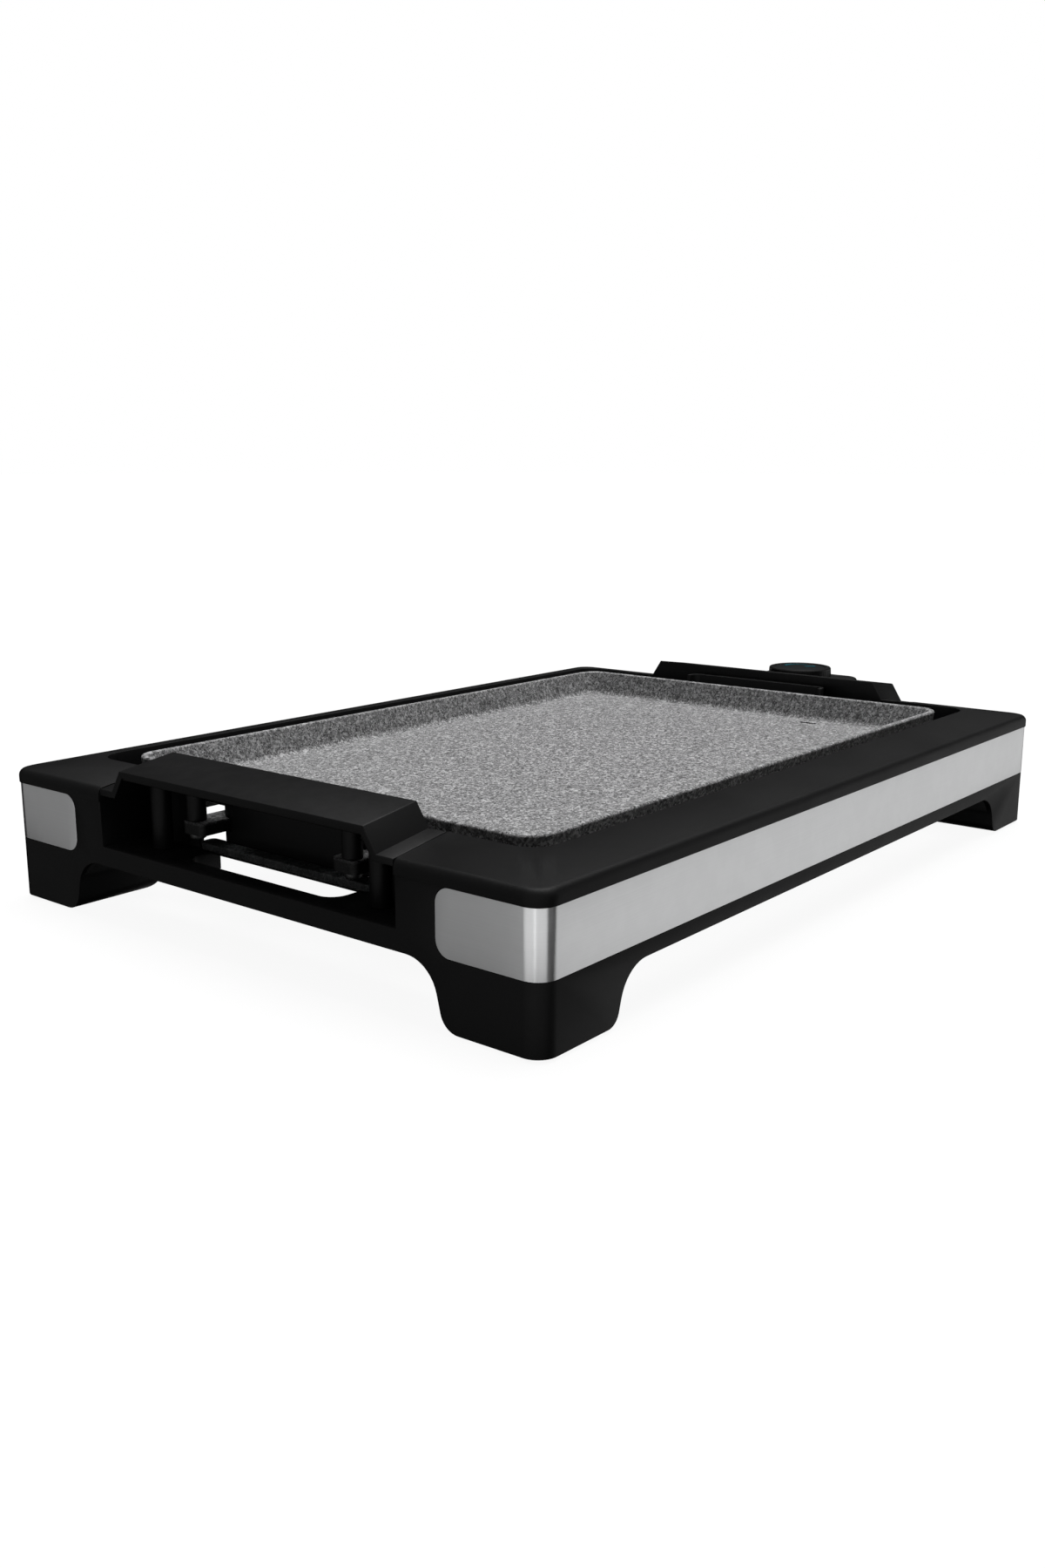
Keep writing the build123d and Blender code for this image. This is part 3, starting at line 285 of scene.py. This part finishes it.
def stone_finish():
    """Pale flecked non-stick coating, with painted shade that makes it almost black on the plate's underside and
    lugs.
    """
    painted_underside_shade = 0.012
    shaded_below = 0.0515
    pale_above = 0.0545
    tree, shader, where, flecks = speckled_finish(
        "stone_coating", 1700.0, (0.055, 0.055, 0.056), (0.232, 0.232, 0.234), (0.56, 0.56, 0.565), 0.14
    )
    height = shader_node(tree, "SeparateXYZ", {0: where}).outputs[2]
    # painted shade: the coating is darkened below the plate's floor height, under the plate and its handles
    shade = ranged(tree, height, painted_underside_shade, 1.0, shaded_below, pale_above)
    toned = shader_node(tree, "VectorMath", {0: flecks, "Scale": shade}, operation="SCALE")
    tree.links.new(toned.outputs[0], shader.inputs["Base Color"])


def bar_finish():
    """Dark, thinly flecked coating, with a painted highlight along the edges."""
    tree, shader, where, flecks = speckled_finish(
        "bar_coating", 1100.0, (0.010, 0.011, 0.011), (0.028, 0.031, 0.031), (0.10, 0.11, 0.11), 0.2
    )
    painted_edge_highlight = effect(tree, WEAR_AND_HIGHLIGHT, {"Vector": where, "Reach": 0.505})["Mask"]
    # painted highlight: a pale colour laid along the bar's edges
    tree.links.new(blended(tree, painted_edge_highlight, flecks, (0.42, 0.42, 0.43)), shader.inputs["Base Color"])


def rubber_finish(name, colour):
    """Soft rubber with a bloom of fine dust."""
    tree, shader, where = finish_base(name)
    skin = effect(tree, GRAIN, {"Vector": where, "Grain": 1500.0, "Sheen Scale": 60.0})
    tree.links.new(blended(tree, skin["Sheen"], colour, tuple(1.8 * part for part in colour)),
                   shader.inputs["Base Color"])
    tree.links.new(ranged(tree, skin["Sheen"], 0.72, 0.86), shader.inputs["Roughness"])
    shader.inputs["Specular IOR Level"].default_value = 0.2
    bumped(tree, shader, skin["Height"], 0.0001, 0.4)


def ceramic_finish():
    """Unglazed steatite."""
    tree, shader, where = finish_base("ceramic")
    skin = effect(tree, GRAIN, {"Vector": where, "Grain": 3200.0, "Sheen Scale": 90.0})
    tree.links.new(blended(tree, skin["Sheen"], (0.70, 0.67, 0.60), (0.80, 0.78, 0.72)), shader.inputs["Base Color"])
    tree.links.new(ranged(tree, skin["Tone"], 0.5, 0.72), shader.inputs["Roughness"])
    bumped(tree, shader, skin["Height"], 0.00008, 0.3)


def glass_finish(name, colour, rough):
    """Clear or tinted glass with faint flow marks."""
    tree, shader, where = finish_base(name)
    flow = shader_node(tree, "TexNoise", {"Vector": where, "Scale": 420.0, "Detail": 1.0})
    shader.inputs["Base Color"].default_value = (*colour, 1.0)
    shader.inputs["Transmission Weight"].default_value = 0.85
    tree.links.new(ranged(tree, flow.outputs["Fac"], rough, rough + 0.06), shader.inputs["Roughness"])
    bumped(tree, shader, flow.outputs["Fac"], 0.00004, 0.3)


plastic_finish("black_plastic", (0.0066, 0.0066, 0.0068), 0.50, 0.07, 2600.0, 0.00005, 0.10)
plastic_finish("tray_plastic", (0.009, 0.009, 0.0093), 0.46, 0.07, 2200.0, 0.00004, 0.14)
plastic_finish("knob_plastic", (0.009, 0.009, 0.0093), 0.38, 0.06, 3200.0, 0.00003, 0.18)
plastic_finish("knob_inlay", (0.016, 0.018, 0.019), 0.34, 0.05, 5200.0, 0.00001, 0.15)
plastic_finish("pointer_mark", (0.006, 0.12, 0.155), 0.45, 0.05, 4200.0, 0.00001, 0.2)
band_tree, band_shader = metal_finish("brushed_band", (0.74, 0.745, 0.75), 0.34, 7.0, 5200.0, 0.00001)
band_shader.inputs["Anisotropic"].default_value = 0.8
band_shader.inputs["Anisotropic Rotation"].default_value = 0.25
band_tree.links.new(
    shader_node(band_tree, "Tangent", direction_type="RADIAL", axis="Z").outputs[0], band_shader.inputs["Tangent"]
)
metal_finish("reflector_sheet", (0.62, 0.62, 0.63), 0.30, 1600.0, 40.0, 0.00001)
metal_finish("element_steel", (0.34, 0.32, 0.30), 0.42, 260.0, 260.0, 0.00002, (1.0, 0.9, 0.8))
metal_finish("screw_steel", (0.50, 0.50, 0.49), 0.33, 900.0, 900.0, 0.00001)
metal_finish("blackened_steel", (0.07, 0.07, 0.07), 0.42, 900.0, 900.0, 0.00001)
metal_finish("contact_brass", (0.72, 0.55, 0.28), 0.27, 60.0, 1800.0, 0.00001)
stone_finish()
bar_finish()
rubber_finish("foot_rubber", (0.014, 0.014, 0.014))
rubber_finish("gland_rubber", (0.011, 0.011, 0.011))
ceramic_finish()
glass_finish("lens", (0.62, 0.03, 0.02), 0.04)
glass_finish("lamp_glass", (0.95, 0.72, 0.55), 0.03)


# Mesh building

def rounded(bm, width, segments):
    """Rounds every crisp outward edge of a closed mesh."""
    limit = math.radians(CRISP_ANGLE)
    crisp = [e for e in bm.edges if e.is_convex and e.calc_face_angle(0.0) > limit]
    bmesh.ops.bevel(
        bm, geom=crisp, offset=width, offset_type="OFFSET", affect="EDGES", segments=segments, profile=0.5,
        material=-1, clamp_overlap=False,
    )


def closed_outward(bm):
    """Merges the seams of a built shape and turns its faces outwards."""
    bmesh.ops.remove_doubles(bm, verts=bm.verts, dist=1e-6)
    bmesh.ops.recalc_face_normals(bm, faces=bm.faces)


def finished(bm, name, body, slot, nodes=(), smooth=38.0, finish=None):
    """Turns a bmesh into a piece that rides on its body, takes a finish and stands for its CAD nodes."""
    mesh = bpy.data.meshes.new(name)
    limit = math.radians(smooth)
    for face in bm.faces:
        face.smooth = True
    for edge in bm.edges:
        edge.smooth = len(edge.link_faces) == 2 and edge.calc_face_angle(0.0) < limit
    bm.to_mesh(mesh)
    bm.free()
    piece = bpy.data.objects.new(name, mesh)
    bpy.context.scene.collection.objects.link(piece)
    mesh.materials.append(finishes[finish or slot])
    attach(piece, body)
    if nodes:
        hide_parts(*nodes)
    return piece


def cad_copy(node):
    """Merged copy of a CAD node's mesh, its flat areas joined into single faces."""
    bm = bmesh.new()
    bm.from_mesh(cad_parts[node].data)
    bmesh.ops.remove_doubles(bm, verts=bm.verts, dist=MERGE_DISTANCE)
    bmesh.ops.dissolve_limit(bm, angle_limit=math.radians(0.6), verts=bm.verts, edges=bm.edges, delimit={"NORMAL"})
    return bm


def eased(node, name, body, slot, width, segments=2, finish=None):
    """The CAD node's own shape with its outer edges eased."""
    bm = cad_copy(node)
    rounded(bm, width, segments)
    bmesh.ops.triangulate(bm, faces=[f for f in bm.faces if len(f.verts) > 4])
    return finished(bm, name, body, slot, (node,), finish=finish)


def turned(profile, steps=48):
    """Shape turned about Z from (radius, height) points in millimetres.

    The points start and end on the axis, or come back to their start."""
    bm = bmesh.new()
    verts = [bm.verts.new((r * MM, 0.0, z * MM)) for r, z in profile]
    edges = [bm.edges.new(pair) for pair in zip(verts, verts[1:])]
    bmesh.ops.spin(
        bm, geom=verts + edges, cent=(0, 0, 0), axis=(0, 0, 1), angle=2 * math.pi, steps=steps, use_merge=True,
        use_duplicate=False,
    )
    closed_outward(bm)
    return bm


def placed(bm, matrix):
    """Moves the whole bmesh."""
    bmesh.ops.transform(bm, matrix=matrix, verts=bm.verts)
    return bm


def joined(parts):
    """One bmesh from several."""
    whole = bmesh.new()
    for bm in parts:
        scrap = bpy.data.meshes.new("scrap")
        bm.to_mesh(scrap)
        bm.free()
        whole.from_mesh(scrap)
        bpy.data.meshes.remove(scrap)
    return whole


def solid_corners(node):
    """Lowest and highest corners of each separate solid in a CAD node."""
    bm = cad_copy(node)
    left = set(bm.verts)
    found = []
    while left:
        queue = [left.pop()]
        group = [queue[0]]
        while queue:
            for edge in queue.pop().link_edges:
                for vert in edge.verts:
                    if vert in left:
                        left.discard(vert)
                        queue.append(vert)
                        group.append(vert)
        low = Vector([min(v.co[i] for v in group) for i in range(3)])
        high = Vector([max(v.co[i] for v in group) for i in range(3)])
        found.append((low, high))
    bm.free()
    return sorted(found, key=lambda pair: (round(pair[0].x, 4), round(pair[0].y, 4)))


# Screws

def next_ring(bm, ring, drop, grow):
    """Extrudes a ring of edges down by a drop in millimetres and scales it about Z. Gives the new ring."""
    out = bmesh.ops.extrude_edge_only(bm, edges=ring)["geom"]
    verts = [v for v in out if isinstance(v, bmesh.types.BMVert)]
    bmesh.ops.translate(bm, vec=(0, 0, -drop * MM), verts=verts)
    bmesh.ops.scale(bm, vec=(grow, grow, 1), verts=verts)
    return [e for e in out if isinstance(e, bmesh.types.BMEdge)]


def cross_screw(head_radius, head_height, shank_radius, length):
    """Pan-head screw with a cross recess, its head's top at z = 0 and its shank pointing down, in millimetres."""
    arm = 0.16 * head_radius
    reach = 0.58 * head_radius
    crown = 0.9
    shoulder = 0.28
    thread_pitch = 0.9
    thread_waist = 0.84
    thread_end = 1.5
    tip_length = 1.0
    bm = bmesh.new()
    rim = bmesh.ops.create_circle(bm, segments=40, radius=head_radius * crown * MM)["verts"]
    ring = list({e for v in rim for e in v.link_edges})
    corner = [(reach, -arm), (reach, arm), (arm, arm)]
    cross = []
    for turn in range(4):
        quarter = Matrix.Rotation(turn * math.pi / 2, 3, "Z")
        cross += [bm.verts.new(quarter @ Vector((x * MM, y * MM, 0))) for x, y in corner]
    cross_edges = [bm.edges.new((a, b)) for a, b in zip(cross, cross[1:] + cross[:1])]
    bmesh.ops.triangle_fill(bm, use_beauty=True, use_dissolve=False, edges=ring + cross_edges)
    recess = next_ring(bm, cross_edges, 0.55 * head_height, 0.72)
    bmesh.ops.contextual_create(bm, geom=recess)
    ring = next_ring(bm, ring, shoulder * head_height, 1 / crown)
    ring = next_ring(bm, ring, (1 - shoulder) * head_height, 1.0)
    ring = next_ring(bm, ring, 0.0, shank_radius / head_radius)
    steps = 2 * max(2, int((length - thread_end) / thread_pitch))
    for step in range(steps):
        ring = next_ring(bm, ring, (length - tip_length) / steps, thread_waist if step % 2 == 0 else 1 / thread_waist)
    ring = next_ring(bm, ring, tip_length, 0.25)
    bmesh.ops.contextual_create(bm, geom=ring)
    closed_outward(bm)
    return bm


def screw_set(node, name, body, head_height, finish=None):
    """Screws driven from below, one for each solid of the CAD node."""
    parts = []
    for index, (low, high) in enumerate(solid_corners(node)):
        head = (high.x - low.x) / 2 / MM
        length = (high.z - low.z) / MM - head_height
        bm = cross_screw(head, head_height, 0.46 * head, length)
        turn = Matrix.Rotation(0.6 + 0.9 * index, 4, "Z")
        flip = Matrix.Rotation(math.pi, 4, "X")
        spot = Matrix.Translation(((low.x + high.x) / 2, (low.y + high.y) / 2, low.z))
        parts.append(placed(bm, spot @ flip @ turn))
    return finished(joined(parts), name, body, "screw_steel", (node,), 32.0, finish)


# Base

eased("base_frame", "base_shell", "base", "black_plastic", 0.0003)
eased("front_band", "band_front", "base", "brushed_band", 0.00022)
eased("rear_band", "band_rear", "base", "brushed_band", 0.00022)
eased("tray_rails", "rails", "base", "black_plastic", 0.0004)
screw_set("foot_screws", "foot_screw_set", "base", 1.2)


def feet():
    """Four turned rubber feet with a ringed sole and a hole for the screw's head."""
    profile = [
        (3.2, 1.7), (3.2, 0.35), (3.7, 0.0), (4.2, 0.0), (4.45, 0.25), (4.7, 0.0), (5.2, 0.0), (5.45, 0.25),
        (5.7, 0.0), (6.2, 0.05), (6.75, 0.45), (7.0, 1.1), (7.0, 3.35), (6.9, 3.5), (1.9, 3.5), (1.9, 1.7),
        (3.2, 1.7),
    ]
    parts = []
    for low, high in solid_corners("rubber_feet"):
        bm = turned(profile)
        parts.append(placed(bm, Matrix.Translation(((low.x + high.x) / 2, (low.y + high.y) / 2, low.z))))
    return finished(joined(parts), "feet", "base", "foot_rubber", ("rubber_feet",))


feet()


# Drip tray

eased("drip_tray", "tray_tub", "tray", "tray_plastic", 0.0005)


# Plate

eased("grip_bar", "bar_near", "plate", "stone_coating", 0.0007, 3, "bar_coating")
eased("near_handle", "handle_near", "plate", "black_plastic", 0.0004)
eased("far_handle", "handle_far", "plate", "black_plastic", 0.0004)
eased("near_shroud", "shroud_near", "plate", "black_plastic", 0.0004)
eased("terminal_shroud", "shroud_far", "plate", "black_plastic", 0.0002)
eased("heat_reflector", "reflector", "plate", "reflector_sheet", 0.00015, 1)
screw_set("reflector_screws", "reflector_screw_set", "plate", 1.4)
screw_set("near_handle_screws", "near_screw_set", "plate", 2.4, "blackened_steel")
screw_set("far_handle_screws", "far_screw_set", "plate", 2.4, "blackened_steel")


# Thermostat

eased("thermostat_lower_shell", "thermostat_base", "thermostat", "black_plastic", 0.0003)
eased("thermostat_upper_shell", "thermostat_cover", "thermostat", "black_plastic", 0.0003)
screw_set("thermostat_screws", "thermostat_screw_set", "thermostat", 1.2)


def dial_ring():
    """Round knob with a finely ribbed skirt and a seat for its inlay."""
    low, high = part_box("control_knob")
    bore = 2.55
    boss = 4.8
    radius = (high.x - low.x) / 2 / MM
    top = high.z / MM
    foot = low.z / MM
    skirt = top - 6.4
    seat = radius - 4.1
    profile = [
        (0.0, top - 1.0), (seat, top - 1.0), (seat + 0.15, top - 0.15), (seat + 0.5, top), (radius - 1.5, top),
        (radius - 0.75, top - 0.18), (radius - 0.3, top - 0.75), (radius - 0.25, top - 1.4), (radius, skirt + 0.5),
        (radius, skirt), (radius - 2.2, skirt), (radius - 2.2, top - 3.2), (boss, top - 3.2), (boss, foot + 0.3),
        (boss - 0.3, foot), (bore, foot), (bore, top - 2.5), (0.0, top - 2.5),
    ]
    bm = turned(profile, 144)
    skirt_faces = [
        f for f in bm.faces
        if abs(f.normal.z) < 0.3 and math.hypot(*f.calc_center_median().xy) > (radius - 0.6) * MM
        and (skirt + 0.6) * MM < f.calc_center_median().z < (top - 1.5) * MM
    ]
    skirt_faces.sort(key=lambda f: math.atan2(f.calc_center_median().y, f.calc_center_median().x))
    bmesh.ops.inset_individual(bm, faces=skirt_faces[::2], thickness=0.12 * MM, depth=-0.16 * MM)
    centre = Matrix.Translation(((low.x + high.x) / 2, (low.y + high.y) / 2, 0))
    return finished(placed(bm, centre), "dial_ring", "knob", "knob_plastic", ("control_knob",), 30.0)


def dial_inlay():
    """Slightly crowned disc in the knob's seat."""
    low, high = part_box("knob_cap")
    radius = (high.x - low.x) / 2 / MM
    top = high.z / MM
    foot = low.z / MM
    profile = [
        (0.0, top), (radius * 0.6, top - 0.04), (radius - 0.6, top - 0.14), (radius - 0.1, top - 0.3),
        (radius - 0.1, foot), (0.0, foot),
    ]
    centre = Matrix.Translation(((low.x + high.x) / 2, (low.y + high.y) / 2, 0))
    return finished(placed(turned(profile, 96), centre), "dial_inlay", "knob", "knob_inlay", ("knob_cap",))


def dial_marks():
    """Teal pointer, wider at its tip, and a thin arc that swells as it goes round."""
    low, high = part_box("knob_cap")
    floor = high.z - 0.10 * MM
    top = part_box("knob_pointer")[1].z
    arc_radius = 10.8 * MM
    arc_half = 0.25 * MM
    arc_start = math.radians(2)
    arc_sweep = math.radians(96)
    arc_growth = 2.2
    pointer_length = 6.8 * MM
    pointer_width = 2.4 * MM
    pointer_middle = 6.6 * MM
    pointer_taper = 0.4
    pointer_turn = math.radians(-50)
    bm = bmesh.new()
    inner = bm.verts.new((arc_radius - arc_half, 0, 0))
    outer = bm.verts.new((arc_radius + arc_half, 0, 0))
    rung = bm.edges.new((inner, outer))
    bmesh.ops.rotate(bm, cent=(0, 0, 0), matrix=Matrix.Rotation(arc_start, 3, "Z"), verts=bm.verts)
    bmesh.ops.spin(
        bm, geom=[inner, outer, rung], cent=(0, 0, 0), axis=(0, 0, 1), angle=arc_sweep, steps=40, use_duplicate=False
    )
    for vert in bm.verts:
        share = (math.atan2(vert.co.y, vert.co.x) - arc_start) / arc_sweep
        swell = 1.0 + arc_growth * share
        vert.co *= (arc_radius + (vert.co.length - arc_radius) * swell) / vert.co.length
    corners = bmesh.ops.create_grid(bm, x_segments=1, y_segments=1, size=0.5)["verts"]
    bmesh.ops.scale(bm, vec=(pointer_length, pointer_width, 1), verts=corners)
    bmesh.ops.scale(bm, vec=(1, pointer_taper, 1), verts=[v for v in corners if v.co.x < 0])
    bmesh.ops.translate(bm, vec=(pointer_middle, 0, 0), verts=corners)
    bmesh.ops.rotate(bm, cent=(0, 0, 0), matrix=Matrix.Rotation(pointer_turn, 3, "Z"), verts=corners)
    raised = bmesh.ops.extrude_face_region(bm, geom=bm.faces[:])["geom"]
    lifted = [v for v in raised if isinstance(v, bmesh.types.BMVert)]
    bmesh.ops.translate(bm, vec=(0, 0, top - floor), verts=lifted)
    closed_outward(bm)
    bmesh.ops.translate(bm, vec=((low.x + high.x) / 2, 0, floor), verts=bm.verts)
    return finished(bm, "dial_marks", "knob", "pointer_mark", ("knob_pointer",))


dial_ring()
dial_inlay()
dial_marks()


# CAD nodes that keep their own shape

KEPT_NODES = {
    "griddle_plate": "stone_coating",
    "heating_element": "element_steel", "pin_beads": "ceramic", "terminal_pins": "contact_brass",
    "sensor_sleeve": "element_steel", "pilot_lens": "lens", "pilot_lamp": "lamp_glass",
    "sensor_rod": "element_steel", "contact_sockets": "contact_brass", "switch_block": "ceramic",
    "contact_blades": "contact_brass", "bimetal_strip": "contact_brass", "cord_gland": "gland_rubber",
    "dial_shaft": "screw_steel",
}
for node_name, slot_name in KEPT_NODES.items():
    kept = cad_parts[node_name]
    kept.data.materials.clear()
    kept.data.materials.append(finishes[slot_name])


# Floor, lights and camera

def studio_floor():
    """Pale floor with a light shadow, which throws little light back at the object's sides."""
    bpy.ops.mesh.primitive_plane_add(size=60.0, location=(0, 0, -0.00005))
    floor = bpy.context.object
    floor.name = "studio_floor"
    floor.visible_glossy = False
    floor.visible_shadow = False
    made = bpy.data.materials.new("pale_floor")
    made.use_nodes = True
    tree = made.node_tree
    shader = tree.nodes["Principled BSDF"]
    path = tree.nodes.new("ShaderNodeLightPath")
    shown = blended(tree, path.outputs["Is Camera Ray"], (0.06, 0.06, 0.06), (0.09, 0.09, 0.09))
    tree.links.new(shown, shader.inputs["Base Color"])
    shader.inputs["Emission Color"].default_value = (1, 1, 1, 1)
    tree.links.new(worked(tree, "MULTIPLY", path.outputs["Is Camera Ray"], 0.93), shader.inputs["Emission Strength"])
    shader.inputs["Roughness"].default_value = 0.9
    shader.inputs["Specular IOR Level"].default_value = 0.0
    floor.data.materials.append(made)


def studio_world():
    """White to the eye, and a soft dim dome to everything else."""
    world = bpy.data.worlds.new("studio")
    bpy.context.scene.world = world
    world.use_nodes = True
    tree = world.node_tree
    tree.nodes.clear()
    seen = shader_node(tree, "Background", {"Color": (1, 1, 1, 1), "Strength": 1.0})
    way = tree.nodes.new("ShaderNodeTexCoord").outputs["Generated"]
    height = shader_node(tree, "SeparateXYZ", {0: way}).outputs[2]
    dome = shader_node(
        tree, "Background", {"Color": (1, 1, 1, 1), "Strength": ranged(tree, height, 0.0, 0.5, 0.45, 0.95)}
    )
    path = tree.nodes.new("ShaderNodeLightPath")
    mixed = shader_node(tree, "MixShader", {0: path.outputs["Is Camera Ray"], 1: dome.outputs[0], 2: seen.outputs[0]})
    out = tree.nodes.new("ShaderNodeOutputWorld")
    tree.links.new(mixed.outputs[0], out.inputs["Surface"])


def aimed(obj, place, target):
    """Places an object and turns its -Z towards the target."""
    obj.location = place
    obj.rotation_mode = "QUATERNION"
    obj.rotation_quaternion = (Vector(target) - Vector(place)).to_track_quat("-Z", "Y")


def soft_card(name, bearing, width, power, centre=(0.0, 0.0), away=1.6, height=3.0, foot=-1.6, gloss_only=True):
    """Upright rectangular soft light at a bearing, in degrees from +X, facing a point of the object."""
    lamp = bpy.data.lights.new(name, "AREA")
    lamp.shape = "RECTANGLE"
    lamp.size = width
    lamp.size_y = height
    lamp.energy = power
    card = bpy.data.objects.new(name, lamp)
    bpy.context.scene.collection.objects.link(card)
    turn = math.radians(bearing)
    middle = foot + height / 2
    place = (centre[0] + away * math.cos(turn), centre[1] + away * math.sin(turn), middle)
    aimed(card, place, (*centre, middle))
    card.visible_camera = False
    card.visible_diffuse = not gloss_only


def overhead_sun():
    """Wide, soft light from above, leaning to the thermostat's end."""
    lamp = bpy.data.lights.new("overhead", "SUN")
    lamp.energy = 3.1
    lamp.angle = math.radians(50)
    sun = bpy.data.objects.new("overhead", lamp)
    bpy.context.scene.collection.objects.link(sun)
    aimed(sun, (0.65, 0.15, 2.0), (0, 0, 0))


studio_floor()
studio_world()
overhead_sun()
soft_card("long_side_card", 329, 1.6, 7.4, (0.0, -HALF_WIDTH), height=2.1)
soft_card("short_side_card", 130, 1.3, 3.3, (NEAR_CORNER[0], 0.0))
soft_card("corner_card_left", 178, 1.7, 13.5, NEAR_CORNER)
soft_card("corner_card_right", 232, 1.9, 14.5, NEAR_CORNER)
soft_card("gap_card", 281, 0.8, 0.6, NEAR_CORNER)
soft_card("rear_card", 36, 1.8, 4.6, (0.0, HALF_WIDTH), height=1.5)
soft_card("front_fill", 290, 1.4, 0.8, away=1.8, height=0.8, foot=0.5, gloss_only=False)

camera_data = bpy.data.cameras.new("camera")
camera_data.sensor_width = 36.0
camera_data.lens = 32.53
camera_data.clip_start = 0.01
camera = bpy.data.objects.new("camera", camera_data)
bpy.context.scene.collection.objects.link(camera)
camera.location = (-0.6241, -0.4553, 0.2087)
camera.rotation_euler = (math.radians(77.333), 0.0, math.radians(-50.82))
bpy.context.scene.camera = camera
bpy.context.scene.view_settings.view_transform = "Standard"
